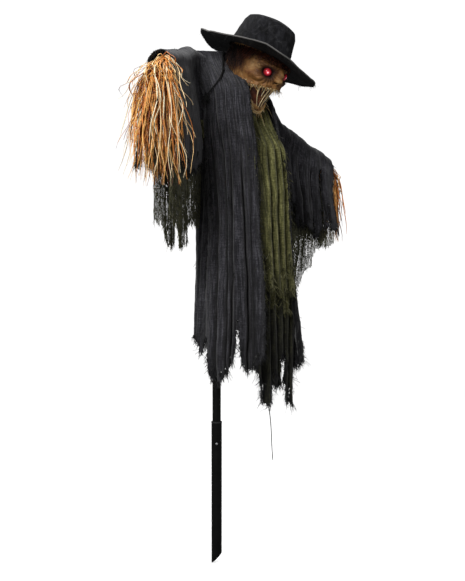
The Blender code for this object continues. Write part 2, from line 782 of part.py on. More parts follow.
def build_coat_shoulder(side, sign):
    """The coat's yoke on one side: up from the front panel, over the pad and down to the back."""
    low, front_end, back_start = COAT_TOP + 0.004, 0.34, 0.72

    def place(u, v):
        rise = smoothstep(0.0, front_end, v)
        start = 0.092 - 0.070 * smoothstep(0.70 * front_end, front_end, v)
        out = start + (0.150 + 0.036 * smoothstep(front_end, 0.5, v) - start) * u
        ridge = BAR_CENTRE.z - sign * out * tan(BAR_ROLL) + 0.036
        crest_y = -0.050 - 0.014 * smoothstep(0.020, 0.034, out) - 0.040 * smoothstep(0.06, 0.12, out)
        back_y = 0.018
        if v < front_end:
            y = yoke_front(out) + (crest_y - yoke_front(out)) * rise
            z = low + (ridge - 0.018 - low) * v / front_end
        elif v > back_start:
            y = back_y
            z = low + (ridge - 0.018 - low) * (1 - v) / (1 - back_start)
        else:
            share = (v - front_end) / (back_start - front_end)
            y = crest_y + (back_y - crest_y) * share
            z = ridge - 0.018 + 0.018 * sin(pi * share)
        return Vector((sign * out, y, z))

    sheet(f"coat_{side}_shoulder", place, 4, 15, CLOTH, "coat")


def yoke_front(out):
    """How far forward the yoke starts, so that it meets the top of the front panel."""
    return -0.196 + 0.075 * smoothstep(0.110, 0.150, out)


def build_collar():
    """A strip of the coat stands up behind the neck."""
    top_mid = 1.665

    def place(u, v):
        x = -0.085 + 0.170 * u
        top = top_mid - x * tan(BAR_ROLL) * 0.6
        low = COAT_TOP + 0.008
        return Vector((x, 0.0235 + 0.004 * v, low + (top - low) * v))

    sheet("coat_collar", place, 8, 4, CLOTH, "coat")


def build_under_clothes():
    """A green cloth hangs in the coat's front opening, over a ragged dark layer."""

    def green(u, v):
        z = 1.400 - 0.470 * v
        angle = radians(148 + 64 * u)
        point = coat_point(angle, z, 0.016)
        point.x = -point.x
        return point

    def ragged(u, v):
        z = 1.330 - 0.740 * v
        angle = radians(140 + 84 * u)
        point = coat_point(angle, max(z, COAT_HEM), 0.030)
        point.x = -point.x
        point.z = z
        return point

    sheet("green_cloth", green, 10, 5, CLOTH, "green")
    sheet("ragged_layer", ragged, 10, 6, CLOTH, "gauze")


# ---------------------------------------------------------------- battery box
def build_battery_box():
    """Two cells in a box on the spine, with a drop-down door in front and a slide switch."""
    centre = Matrix.Translation(BOX_CENTRE)
    box = block("battery_box", BOX, "plastic", matrix=centre)
    inside = Vector((BOX.x - 2 * BOX_WALL, BOX.y, BOX.z - 2 * BOX_WALL))
    cut(box, block("box_cutter", inside, None, matrix=centre @ at(0, -BOX_WALL, 0), cutter=True))
    slot = block("switch_slot_cutter", (0.010, 0.0055, 0.0125), None, cutter=True,
                 matrix=centre @ at(-BOX.x / 2, 0.004, 0.018))
    # Two spring clips on the box's back hold it on the spine.
    for z in (-0.020, 0.020):
        clip = ring("clip", SPINE_R + 0.0036, SPINE_R + GAP, -0.003, 0.003, None,
                    matrix=at(0, 0, BOX_CENTRE.z + z))
        join(box, keep(clip, None, cutter=True))
    cut(box, slot)
    front = BOX_CENTRE.y - BOX.y / 2
    hinge = Vector((0.0, front - 0.0030, BOX_CENTRE.z - BOX.z / 2))
    door_pivot = empty("battery_door_hinge", Matrix.Translation(hinge))
    block("battery_door", (BOX.x, 0.0022, BOX.z - 0.0060), "plastic", door_pivot,
          at(0, 0.0030 - 0.0011 - GAP, BOX.z / 2 + 0.0022))
    rod("door_hinge_pin", 0.0013, -BOX.x / 2 + 0.004, BOX.x / 2 - 0.004, "steel",
        matrix=Matrix.Translation(hinge) @ Matrix.Rotation(pi / 2, 4, "Y"), steps=12)
    half = CELL_L / 2
    profile = [
        (0.0, half),
        (0.0026, half),
        (0.0026, half - 0.0012),
        (CELL_R, half - 0.0012),
        (CELL_R, -half),
        (0.0, -half),
    ]
    for side, sign in SIDES.items():
        cell_x = sign * (CELL_R + 0.0010)
        place = centre @ at(cell_x, 0.0005, 0.0) @ Matrix.Rotation(pi if sign < 0 else 0.0, 4, "X")
        turned(f"{side}_battery", profile, "cell", matrix=place, steps=16)
        block(f"{side}_contact", (0.0110, 0.0100, 0.0008), "steel",
              matrix=centre @ at(cell_x, 0.0, half + 0.0014))
    block("bridge_contact", (0.0280, 0.0100, 0.0008), "steel", matrix=centre @ at(0.0, 0.0, -half - 0.0014))
    block("switch_slider", (0.0056, 0.0048, 0.0060), "plastic",
          matrix=centre @ at(-BOX.x / 2 - 0.0008, 0.004, 0.0150))


def build_body_lead():
    """The lead leaves the box, enters the spine and ends at the neck's connector."""
    top = BOX_CENTRE.z + BOX.z / 2
    line = [
        Vector((0.010, BOX_CENTRE.y, top + GAP)),
        Vector((0.009, BOX_CENTRE.y - 0.001, top + 0.015)),
        Vector((0.004, BOX_CENTRE.y - 0.001, top + 0.035)),
        Vector((0.0, -0.019, LEAD_IN_Z - 0.004)),
        Vector((0.0, -0.0115, LEAD_IN_Z)),
        Vector((0.0, -0.0075, LEAD_IN_Z + 0.006)),
    ]
    line += spine_line(LEAD_IN_Z + 0.020, NECK_TOP - 0.012, 0.0065)
    line.append(HEAD_PIVOT + neck_axis() * (NECK_TOP - 0.0002))
    wire("body_lead", line, 0.0018, "wire", sides=1)


# ---------------------------------------------------------------- assembly
def shade_round_pieces():
    for obj in bpy.data.collections[COLLECTION].objects:
        if obj.type == "MESH":
            obj.data.shade_smooth()
            obj.data.set_sharp_from_angle(angle=CRISP_ANGLE)


clear_scene()
LOOKS = make_materials()
build_stake()
SCREW_Z = build_pole()
build_button()
build_spine(SCREW_Z)
build_shoulder_plates()
build_shoulder_bar()
HEAD = empty("head_turn", Matrix.Translation(HEAD_PIVOT) @ Matrix.Rotation(HEAD_PITCH, 4, "X"))
build_head(HEAD)
build_hair(HEAD)
build_hat(HEAD)
for SIDE, SIGN in SIDES.items():
    build_arm(SIDE, SIGN)
build_coat()
build_under_clothes()
build_battery_box()
build_body_lead()
shade_round_pieces()
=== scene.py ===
"""Looks for the scarecrow figure: torn gauze coat, sackcloth mask, felt hat and raffia hands."""

import json
from math import cos, pi, radians, sin, tan

import bpy
import numpy as np
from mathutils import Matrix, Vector


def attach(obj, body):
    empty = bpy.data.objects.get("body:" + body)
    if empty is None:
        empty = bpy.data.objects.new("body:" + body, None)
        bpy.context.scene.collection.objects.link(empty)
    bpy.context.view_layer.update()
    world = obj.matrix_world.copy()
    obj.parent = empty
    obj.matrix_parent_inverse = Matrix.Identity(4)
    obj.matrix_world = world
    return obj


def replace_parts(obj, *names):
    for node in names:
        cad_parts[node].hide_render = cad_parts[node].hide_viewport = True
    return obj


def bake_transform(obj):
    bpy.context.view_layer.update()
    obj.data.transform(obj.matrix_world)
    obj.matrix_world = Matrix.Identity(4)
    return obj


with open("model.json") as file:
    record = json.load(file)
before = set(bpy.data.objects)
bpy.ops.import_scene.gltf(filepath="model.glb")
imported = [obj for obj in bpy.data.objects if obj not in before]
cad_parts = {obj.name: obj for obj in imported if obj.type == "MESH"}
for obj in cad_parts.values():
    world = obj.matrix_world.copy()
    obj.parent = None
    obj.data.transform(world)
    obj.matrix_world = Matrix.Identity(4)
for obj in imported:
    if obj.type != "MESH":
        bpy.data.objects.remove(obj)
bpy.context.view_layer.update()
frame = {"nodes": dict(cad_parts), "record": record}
RNG = np.random.default_rng(31)


# ---- the frame's own measures
HEAD_PIVOT = np.array((0.0, -0.162, 1.668))
HEAD_PITCH = radians(33)
HAT_PITCH = radians(-8.9)
HAT_ROLL = radians(13.5)
PIVOTS = {"right": np.array((-0.157868, -0.035, 1.639459)), "left": np.array((0.157868, -0.035, 1.524541))}
SIDES = {"right": -1, "left": 1}
HEADINGS = {"right": pi + radians(30), "left": radians(-24)}
DROOPS = {"right": radians(19), "left": radians(34)}
BAR_ROLL = radians(20)
ARM_REACH = 0.29
EYES = {side: (sign * 0.036, -0.126, -0.019) for side, sign in SIDES.items()}


# ---- camera, lights and floor
# Each light's place, target, size and energy.
LIGHTS = {
    "key": ((-3.3, -1.1, 2.9), (0, -0.1, 1.25), (1.6, 1.6), 145),
    "fill": ((0.9, -3.4, 1.6), (0, -0.1, 1.1), (2.0, 2.6), 14),
    "top": ((-0.3, 0.4, 3.6), (0, -0.1, 1.3), (1.6, 1.6), 40),
}


def make_camera():
    data = bpy.data.cameras.new("camera")
    data.lens = 48.14
    data.sensor_width = 36.0
    data.shift_x = 0.0273
    camera = bpy.data.objects.new("camera", data)
    camera.location = (-1.8385, -1.8385, 0.91)
    camera.rotation_euler = (pi / 2, 0.0, -pi / 4)
    bpy.context.scene.collection.objects.link(camera)
    bpy.context.scene.camera = camera


def make_light(name, place, target, size, energy):
    data = bpy.data.lights.new(name, "AREA")
    data.shape = "RECTANGLE"
    data.size, data.size_y = size
    data.energy = energy
    light = bpy.data.objects.new(name, data)
    light.location = place
    light.rotation_euler = (Vector(target) - Vector(place)).to_track_quat("-Z", "Y").to_euler()
    bpy.context.scene.collection.objects.link(light)


def make_stage():
    """A pale floor that sweeps up all round into a pale backdrop."""
    profile = [(0.0, 0.0), (0.4, 0.0), (1.0, 0.0), (3.0, 0.0), (5.0, 0.0)]
    profile += [(5.0 + 1.5 * sin(a), 1.5 - 1.5 * cos(a)) for a in np.linspace(0.15, pi / 2, 8)]
    profile += [(6.5, 3.0), (6.5, 8.0)]
    r, z = np.array(profile).T[:, :, None]
    turn = np.linspace(0, 2 * pi, 64, endpoint=False)
    rings = xyz(r * np.cos(turn), r * np.sin(turn), z)
    studio = solid_mesh("studio", rings, quads(*rings.shape[:2], wrap=True), rings[..., :2], "studio")
    studio.visible_diffuse = False
    studio.visible_glossy = False
    world = bpy.data.worlds.new("world")
    world.use_nodes = True
    background = world.node_tree.nodes["Background"].inputs
    background["Color"].default_value = (1, 1, 1, 1)
    background["Strength"].default_value = 0.22
    bpy.context.scene.world = world
    bpy.context.scene.view_settings.view_transform = "Standard"


# ---- node helpers
def new_material(name, roughness, metallic=0.0, specular=0.5, sheen=0.0):
    made = bpy.data.materials.new(name)
    made.use_nodes = True
    shader = made.node_tree.nodes["Principled BSDF"]
    values = {"Roughness": roughness, "Metallic": metallic, "Specular IOR Level": specular,
              "Sheen Weight": sheen, "Sheen Roughness": 0.6}
    for key, value in values.items():
        shader.inputs[key].default_value = value
    return made, made.node_tree, shader


def link(tree, source, target):
    tree.links.new(source, target)


def node(tree, kind, values, **settings):
    """A shader node with its settings made. Each of values is a number or colour, or a socket to link."""
    made = tree.nodes.new("ShaderNode" + kind)
    for key, value in settings.items():
        setattr(made, key, value)
    for key, value in values.items():
        if isinstance(value, bpy.types.NodeSocket):
            link(tree, value, made.inputs[key])
        else:
            made.inputs[key].default_value = value
    return made


def coords(tree, kind="Object", scale=(1, 1, 1)):
    place = node(tree, "TexCoord", {}).outputs[kind]
    return node(tree, "Mapping", {"Vector": place, "Scale": scale}).outputs["Vector"]


def noise(tree, vector, scale, detail=3.0, rough=0.55, distort=0.0):
    return node(tree, "TexNoise", {"Vector": vector, "Scale": scale, "Detail": detail, "Roughness": rough,
                                   "Distortion": distort}).outputs["Fac"]


def weave_of(tree, vector, threads, directions, distort):
    """Two sets of bands that cross, so many threads to the metre."""
    values = {"Vector": vector, "Scale": threads / 6.283, "Distortion": distort, "Detail": 1.0}
    bands = [node(tree, "TexWave", values, wave_type="BANDS", bands_direction=way).outputs["Fac"]
             for way in directions]
    return maths(tree, "ADD", *bands)


def ramp(tree, factor, stops):
    """A colour ramp. Each stop is a place and a colour, or a number for a grey."""
    made = node(tree, "ValToRGB", {"Fac": factor})
    bar = made.color_ramp.elements
    while len(bar) < len(stops):
        bar.new(0.5)
    for element, (place, colour) in zip(bar, stops):
        element.position = place
        element.color = (*colour, 1.0) if isinstance(colour, tuple) else (colour, colour, colour, 1.0)
    return made.outputs["Color"]


def mix(tree, factor, first, second, how="MIX"):
    if isinstance(second, tuple):
        second = (*second, 1.0)
    values = {"Factor": factor, "A": first, "B": second}
    return node(tree, "Mix", values, data_type="RGBA", blend_type=how).outputs["Result"]


def maths(tree, how, first, second):
    return node(tree, "Math", {0: first, 1: second}, operation=how).outputs[0]


def split(tree, vector):
    return node(tree, "SeparateXYZ", {0: vector}).outputs


def bump(tree, shader, layers):
    """layers: (height, strength, distance in metres) laid over each other."""
    values = {}
    for height, strength, distance in layers:
        values |= {"Height": height, "Strength": strength, "Distance": distance}
        values["Normal"] = node(tree, "Bump", values).outputs["Normal"]
    link(tree, values["Normal"], shader.inputs["Normal"])


# ---- materials
def gauze_look(name, tones, patches=None, spread=0.115):
    """Loose woven cloth. UVMap is in metres; the fold map, 0 in a dark hollow and 1 on a ridge, paints shade
    into the colour.
    """
    made, tree, shader = new_material(name, 0.95, specular=0.15, sheen=0.15)
    uv = coords(tree, "UV")
    slub_down = noise(tree, coords(tree, "UV", (190, 13, 1)), 1.0, 3, 0.65)
    slub_across = noise(tree, coords(tree, "UV", (20, 260, 1)), 1.0, 2, 0.6)
    speckle = noise(tree, uv, 210.0, 3, 0.6)
    worn = noise(tree, uv, 26.0, 4, 0.6, 0.4)
    weave = weave_of(tree, uv, 700.0, "XY", 0.6)
    streaks = maths(tree, "MULTIPLY", slub_down, 0.5)
    for layer, share in ((slub_across, 0.14), (speckle, 0.28), (worn, 0.12), (weave, 0.03)):
        streaks = maths(tree, "ADD", streaks, maths(tree, "MULTIPLY", layer, share))
    low, middle, high = tones
    tone = ramp(tree, streaks, ((0.545 - spread, low), (0.545, middle), (0.545 + spread, high)))
    # Painted shade: the fold map darkens the colour in each fold's hollow.
    height = split(tree, node(tree, "UVMap", {}, uv_map="Fold").outputs["UV"])[0]
    shade = ramp(tree, height, ((0.1, 0.16), (0.5, 0.7), (0.85, 1.0)))
    tone = mix(tree, 1.0, tone, shade, "MULTIPLY")
    if patches is not None:
        stain = ramp(tree, noise(tree, uv, 7.0, 3, 0.6, 0.5), ((0.44, 0.0), (0.66, 1.0)))
        tone = mix(tree, stain, tone, mix(tree, 0.55, tone, patches))
    link(tree, tone, shader.inputs["Base Color"])
    bump(tree, shader, (
        (noise(tree, coords(tree, "UV", (80, 9, 1)), 1.0, 3, 0.6), 0.75, 0.0045),
        (slub_down, 0.35, 0.0008),
        (weave, 0.35, 0.0003),
    ))
    return made


def strand_look(name, stops, roughness=0.7, specular=0.3):
    """Fibres: UV's x, a number for each strand, picks its colour."""
    made, tree, shader = new_material(name, roughness, specular=specular)
    tone = ramp(tree, split(tree, coords(tree, "UV"))[0], stops)
    grain = noise(tree, coords(tree, "UV", (900, 14, 1)), 1.0, 3, 0.6)
    shade = ramp(tree, grain, ((0.25, 0.65), (0.65, 1.0)))
    tone = mix(tree, 0.8, tone, shade, "MULTIPLY")
    link(tree, tone, shader.inputs["Base Color"])
    bump(tree, shader, ((grain, 0.4, 0.0004),))
    return made


def hard_look(name, tone, worn, roughness, metallic, specular=0.5):
    made, tree, shader = new_material(name, roughness, metallic, specular)
    place = coords(tree)
    fine = noise(tree, place, 500.0, 3, 0.6)
    wide = noise(tree, place, 22.0, 4, 0.65)
    link(tree, ramp(tree, wide, ((0.35, tone), (0.75, worn))), shader.inputs["Base Color"])
    rough = ramp(tree, wide, ((0.3, roughness * 0.8), (0.8, min(1.0, roughness * 1.35))))
    link(tree, rough, shader.inputs["Roughness"])
    bump(tree, shader, ((fine, 0.12, 0.0002),))
    return made


def felt_look():
    made, tree, shader = new_material("felt", 0.97, specular=0.1, sheen=0.04)
    place = coords(tree)
    fibre = noise(tree, place, 900.0, 4, 0.7)
    nap = noise(tree, coords(tree, "Object", (60, 60, 25)), 1.0, 5, 0.65, 0.8)
    scuff = noise(tree, coords(tree, "Object", (19, 19, 30)), 1.0, 6, 0.72, 1.2)
    tone = ramp(tree, nap, ((0.36, (0.0018, 0.0018, 0.002)), (0.53, (0.0065, 0.0065, 0.008)),
                            (0.7, (0.019, 0.019, 0.022))))
    dust = ramp(tree, scuff, ((0.55, 0.0), (0.76, 0.75)))
    tone = mix(tree, dust, tone, (0.06, 0.06, 0.062))
    specks = ramp(tree, fibre, ((0.62, 0.0), (0.8, 0.35)))
    tone = mix(tree, specks, tone, (0.05, 0.049, 0.047))
    link(tree, tone, shader.inputs["Base Color"])
    bump(tree, shader, ((scuff, 0.5, 0.003), (nap, 0.5, 0.0015), (fibre, 0.5, 0.0004)))
    return made


def sackcloth_look(name, tones, crease=0.45, sockets=()):
    """Painted sackcloth, wrinkled like old leather, dark with painted shade in its creases and round the
    sockets.
    """
    made, tree, shader = new_material(name, 0.62, specular=0.35)
    place = coords(tree)
    wide = noise(tree, place, 22.0, 4, 0.6, 0.6)
    creases = noise(tree, place, 70.0, 4, 0.6, 1.2)
    weave = weave_of(tree, place, 1500.0, "XZ", 1.0)
    low, middle, high = tones
    tone = ramp(tree, wide, ((0.3, low), (0.5, middle), (0.7, high)))
    # Painted shade in the creases: the bump's hollows are darkened.
    painted_crease_shade = ramp(tree, creases, ((0.34, 0.25), (0.46, 0.85), (0.7, 1.0)))
    tone = mix(tree, crease + 0.2, tone, painted_crease_shade, "MULTIPLY")
    # Painted shade round each sunken socket, darkest next to the eye.
    for eye in sockets:
        away = node(tree, "VectorMath", {0: place, 1: head_place(eye)}, operation="DISTANCE").outputs["Value"]
        dark = ramp(tree, maths(tree, "MULTIPLY", away, 20.0),
                    ((0.34, (0.04, 0.012, 0.01)), (0.5, (0.42, 0.34, 0.3)), (0.7, (1.0, 1.0, 1.0))))
        tone = mix(tree, 1.0, tone, dark, "MULTIPLY")
    link(tree, tone, shader.inputs["Base Color"])
    bump(tree, shader, ((creases, crease, 0.0022), (weave, 0.3, 0.0003)))
    return made


def eye_look():
    """A lit lens: hot pink-white at its middle and deep red at its rim."""
    made, tree, shader = new_material("eye", 0.08, specular=0.6)
    from_middle = split(tree, coords(tree, "UV"))[1]
    glow = maths(tree, "ADD", from_middle, maths(tree, "MULTIPLY", noise(tree, coords(tree), 220.0, 2), 0.05))
    tone = ramp(tree, glow, ((0.06, (1.0, 0.62, 0.68)), (0.105, (0.42, 0.02, 0.045)),
                             (0.2, (0.12, 0.001, 0.005)), (0.36, (0.016, 0.0, 0.001))))
    link(tree, tone, shader.inputs["Emission Color"])
    shader.inputs["Emission Strength"].default_value = 1.1
    base = ramp(tree, glow, ((0.1, (0.5, 0.03, 0.04)), (0.5, (0.03, 0.0, 0.0))))
    link(tree, base, shader.inputs["Base Color"])
    return made


def studio_look():
    """The stage's own look: nearly white, and bright enough to stay so behind the figure."""
    made, tree, shader = new_material("studio", 0.9)
    grain = noise(tree, coords(tree, "Object", (3, 3, 3)), 4.0, 2)
    tone = ramp(tree, grain, ((0.0, 0.9), (1.0, 0.93)))
    link(tree, tone, shader.inputs["Base Color"])
    link(tree, tone, shader.inputs["Emission Color"])
    shader.inputs["Emission Strength"].default_value = 0.8
    return made


# Colours by what they are for. Each set of tones runs from the darkest to the palest.
HARD = {
    "tube": ((0.0022, 0.0022, 0.0021), (0.005, 0.005, 0.0048), 0.45, 0.0, 0.12),
    "steel": ((0.6, 0.6, 0.61), (0.42, 0.42, 0.43), 0.3, 1.0),
    "black_plastic": (0.012, 0.02, 0.5, 0.0),
    "wire": ((0.28, 0.012, 0.01), (0.2, 0.01, 0.008), 0.5, 0.0),
    "cell": ((0.015, 0.1, 0.045), (0.01, 0.07, 0.03), 0.35, 0.2),
}
GAUZE = {
    "coat": (((0.003, 0.003, 0.004), (0.019, 0.0184, 0.023), (0.088, 0.086, 0.1)),),
    "green": (((0.01, 0.01, 0.003), (0.092, 0.09, 0.027), (0.32, 0.305, 0.125)), None, 0.15),
    "rag": (((0.003, 0.003, 0.002), (0.015, 0.015, 0.008), (0.065, 0.065, 0.034)), (0.004, 0.004, 0.004)),
    "gauze": (((0.01, 0.01, 0.006), (0.07, 0.071, 0.038), (0.25, 0.25, 0.15)),),
}
STRANDS = {
    "straw": (((0.0, (0.02, 0.003, 0.001)), (0.2, (0.16, 0.026, 0.003)), (0.42, (0.8, 0.26, 0.032)),
               (0.72, (1.0, 0.56, 0.15)), (1.0, (1.0, 0.9, 0.64))), 0.45, 0.5),
    "twine": (((0.0, (0.36, 0.15, 0.035)), (0.5, (0.86, 0.56, 0.22)), (1.0, (1.0, 0.9, 0.62))), 0.7),
    "hair": (((0.0, (0.004, 0.002, 0.0015)), (0.6, (0.014, 0.005, 0.004)), (1.0, (0.06, 0.018, 0.01))), 0.7),
    "fringe": (((0.0, (0.014, 0.004, 0.002)), (0.6, (0.07, 0.018, 0.008)), (1.0, (0.2, 0.055, 0.022))), 0.6),
    "coat_fibre": (((0.0, (0.006, 0.006, 0.007)), (0.8, (0.02, 0.02, 0.022)),
                    (1.0, (0.08, 0.078, 0.075))), 0.9),
    "black_fibre": (((0.0, 0.003), (1.0, 0.008)), 0.9),
    "green_fibre": (((0.0, (0.03, 0.03, 0.012)), (0.6, (0.09, 0.088, 0.035)),
                     (1.0, (0.24, 0.23, 0.13))), 0.9),
    # Pale grey for the brim's rim, where it is a painted highlight, and for its stitching thread.
    "edge": (((0.0, 0.05), (1.0, (0.22, 0.21, 0.2))), 0.9),
}
SACKCLOTH = {
    "mask": (((0.1, 0.032, 0.009), (0.25, 0.115, 0.03), (0.42, 0.25, 0.1)), 0.45, EYES.values()),
    "jaw": (((0.16, 0.055, 0.012), (0.46, 0.24, 0.08), (0.8, 0.6, 0.32)), 0.8),
    "mouth": (((0.016, 0.005, 0.002), (0.06, 0.015, 0.007), (0.17, 0.045, 0.016)),),
}


def make_looks():
    looks = {"studio": studio_look(), "felt": felt_look(), "eye": eye_look()}
    for recipe, table_of in ((hard_look, HARD), (gauze_look, GAUZE), (strand_look, STRANDS),
                             (sackcloth_look, SACKCLOTH)):
        looks |= {name: recipe(name, *values) for name, values in table_of.items()}
    return looks


# ---- numbers
def smooth(low, high, value):
    t = np.clip((value - low) / (high - low), 0.0, 1.0)
    return t * t * (3 - 2 * t)


def lattice(x, y, seed):
    """Smooth value noise, -1 to 1, on arrays."""
    xi, yi = np.floor(x).astype(np.int64), np.floor(y).astype(np.int64)
    xf, yf = x - xi, y - yi
    u, v = xf * xf * (3 - 2 * xf), yf * yf * (3 - 2 * yf)

    def at(a, b):
        n = (a * 374761393 + b * 668265263 + seed * 974634777) & 0xFFFFFFFF
        n = ((n ^ (n >> 13)) * 1274126177) & 0xFFFFFFFF
        return ((n ^ (n >> 16)) & 0xFFFF) / 32767.5 - 1.0

    top = at(xi, yi) * (1 - u) + at(xi + 1, yi) * u
    low = at(xi, yi + 1) * (1 - u) + at(xi + 1, yi + 1) * u
    return top * (1 - v) + low * v


def rough(x, y, seed, octaves=3):
    total, size = 0.0, 0.0
    for i in range(octaves):
        total = total + lattice(x * 2 ** i, y * 2 ** i, seed + 17 * i) * 0.55 ** i
        size += 0.55 ** i
    return total / size


def bell(x, at, wide):
    """1 in its middle, falling away to 0 on both sides."""
    return np.exp(-((x - at) / wide) ** 2)


def ripple(x, seed, octaves=3, row=0.0):
    """Smooth noise along one line, -1 to 1."""
    return rough(x, x * 0 + row, seed, octaves)


def half_ripple(*values):
    """Smooth noise along one line, 0 to 1."""
    return 0.5 + 0.5 * ripple(*values)


def xyz(x, y, z):
    return np.stack(np.broadcast_arrays(x, y, z), -1)


def table(pairs):
    """A function that reads through (at, value) pairs, value a number or a point."""
    keys = np.array([a for a, _ in pairs], float)
    values = np.array([b for _, b in pairs], float)
    if values.ndim == 1:
        return lambda x: np.interp(x, keys, values)
    return lambda x: np.stack([np.interp(x, keys, values[:, i]) for i in range(values.shape[1])], -1)


def unit(vectors):
    return vectors / np.maximum(np.linalg.norm(vectors, axis=-1, keepdims=True), 1e-9)


def grid_normals(points):
    return unit(np.cross(np.gradient(points, axis=1), np.gradient(points, axis=0)))


# ---- meshes
def solid_mesh(name, points, faces, uv, look, on=None, folds=None):
    """A mesh of the points that its faces use. uv and folds hold a pair of numbers for each point; folds
    carries painted shade for the cloth's folds.
    """
    used, renumbered = np.unique(faces, return_inverse=True)
    faces = renumbered.reshape(-1, 4)
    mesh = bpy.data.meshes.new(name)
    mesh.from_pydata(points.reshape(-1, 3)[used].tolist(), [], faces.tolist())
    for key, values in (("UVMap", uv), ("Fold", folds)):
        if values is not None:
            layer = mesh.uv_layers.new(name=key)
            corners = values.reshape(-1, 2)[used][faces.ravel()]
            layer.data.foreach_set("uv", corners.astype(np.float32).ravel())
    mesh.shade_smooth()
    mesh.materials.append(LOOKS[look])
    obj = bpy.data.objects.new(name, mesh)
    bpy.context.scene.collection.objects.link(obj)
    if isinstance(on, tuple):
        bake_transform(obj)
    elif on is not None:
        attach(obj, on)
    return obj


def thicken(obj, amount, offset=-1.0):
    solid = obj.modifiers.new("thickness", "SOLIDIFY")
    solid.thickness = amount
    solid.offset = offset


def grid(rows, columns, low=0.0, wrap=False):
    """u across, from low to 1, and v down, from 0 to 1."""
    return np.meshgrid(np.linspace(low, 1, columns, endpoint=not wrap), np.linspace(0, 1, rows))


def head_sheet(name, points, uv, look, hides=None, thick=0.0, offset=-1.0, wrap=False, kept=...,
               hat=False):
    """A piece on the head, from a grid of points in the head's own frame or the hat's."""
    faces = quads(*points.shape[:2], wrap)[kept]
    made = solid_mesh(name, head_place(points, hat), faces, np.stack(uv, -1), look, "head")
    if thick:
        thicken(made, thick, offset)
    if hides:
        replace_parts(made, hides)


def quads(rows, columns, wrap=False):
    """Faces of a grid of points, rows x columns, as (rows-1, columns-1 or columns, 4)."""
    r, c = np.meshgrid(np.arange(rows - 1), np.arange(columns if wrap else columns - 1), indexing="ij")
    d = (c + 1) % columns
    return np.stack([r * columns + c, r * columns + d, (r + 1) * columns + d, (r + 1) * columns + c], -1)


def fuzz(name, roots, lengths, radius, look, on, steps=5, away=0.3, curl=0.3, heading=(0, 0, -1)):
    """Loose fibres that start at roots and fall."""
    strands(name, hanging(roots, lengths, steps, away, curl, heading), radius, look, on)


def strands(name, paths, radii, look, on, sides=3, pick=None, flat=1.0):
    """Thin fibres as one mesh. paths: (n, k, 3); radii: (n, k) or a number."""
    n, k, _ = paths.shape
    radii = np.broadcast_to(radii, (n, k))
    tangent = unit(np.gradient(paths, axis=1))
    reference = np.where(np.abs(tangent[..., 2:3]) > 0.9, [[[1.0, 0.0, 0.0]]], [[[0.0, 0.0, 1.0]]])
    spin = RNG.uniform(0, 2 * pi, n)
    side = unit(np.cross(tangent, reference))
    other = np.cross(tangent, side)
    turn = spin[:, None] + 2 * pi * np.arange(sides) / sides
    a, b = np.cos(turn), np.sin(turn) * flat
    offset = side[:, :, None] * a[:, None, :, None] + other[:, :, None] * b[:, None, :, None]
    points = paths[:, :, None] + offset * radii[:, :, None, None]
    ring = quads(k, sides, wrap=True).reshape(-1, 4)
    faces = ring + (np.arange(n) * k * sides)[:, None, None]
    pick = RNG.uniform(0, 1, n) if pick is None else pick
    uv = np.empty((n, k, sides, 2))
    uv[..., 0] = np.reshape(pick, (-1, 1, 1))
    uv[..., 1] = np.linspace(0, 1, k)[None, :, None]
    return solid_mesh(name, points, faces, uv, look, on)


def hanging(roots, lengths, steps, away, curl, heading=(0, 0, -1)):
    """Paths of loose fibres that start at roots and fall."""
    n = len(roots)
    t = np.linspace(0, 1, steps)[:, None]
    lengths = lengths[:, None, None]
    drift = RNG.normal(0, away, (n, 1, 3)) * (1, 1, 0.4)
    bend = RNG.normal(0, curl, (n, 1, 3))
    return roots[:, None] + lengths * (t * heading + drift * t + bend * t * t - bend * 0.6 * t ** 3)


CLOTH_THICK = 0.0008
# How far a fold stands out or in, in metres, where its painted shade is fullest.
DEEP_FOLD = 0.016


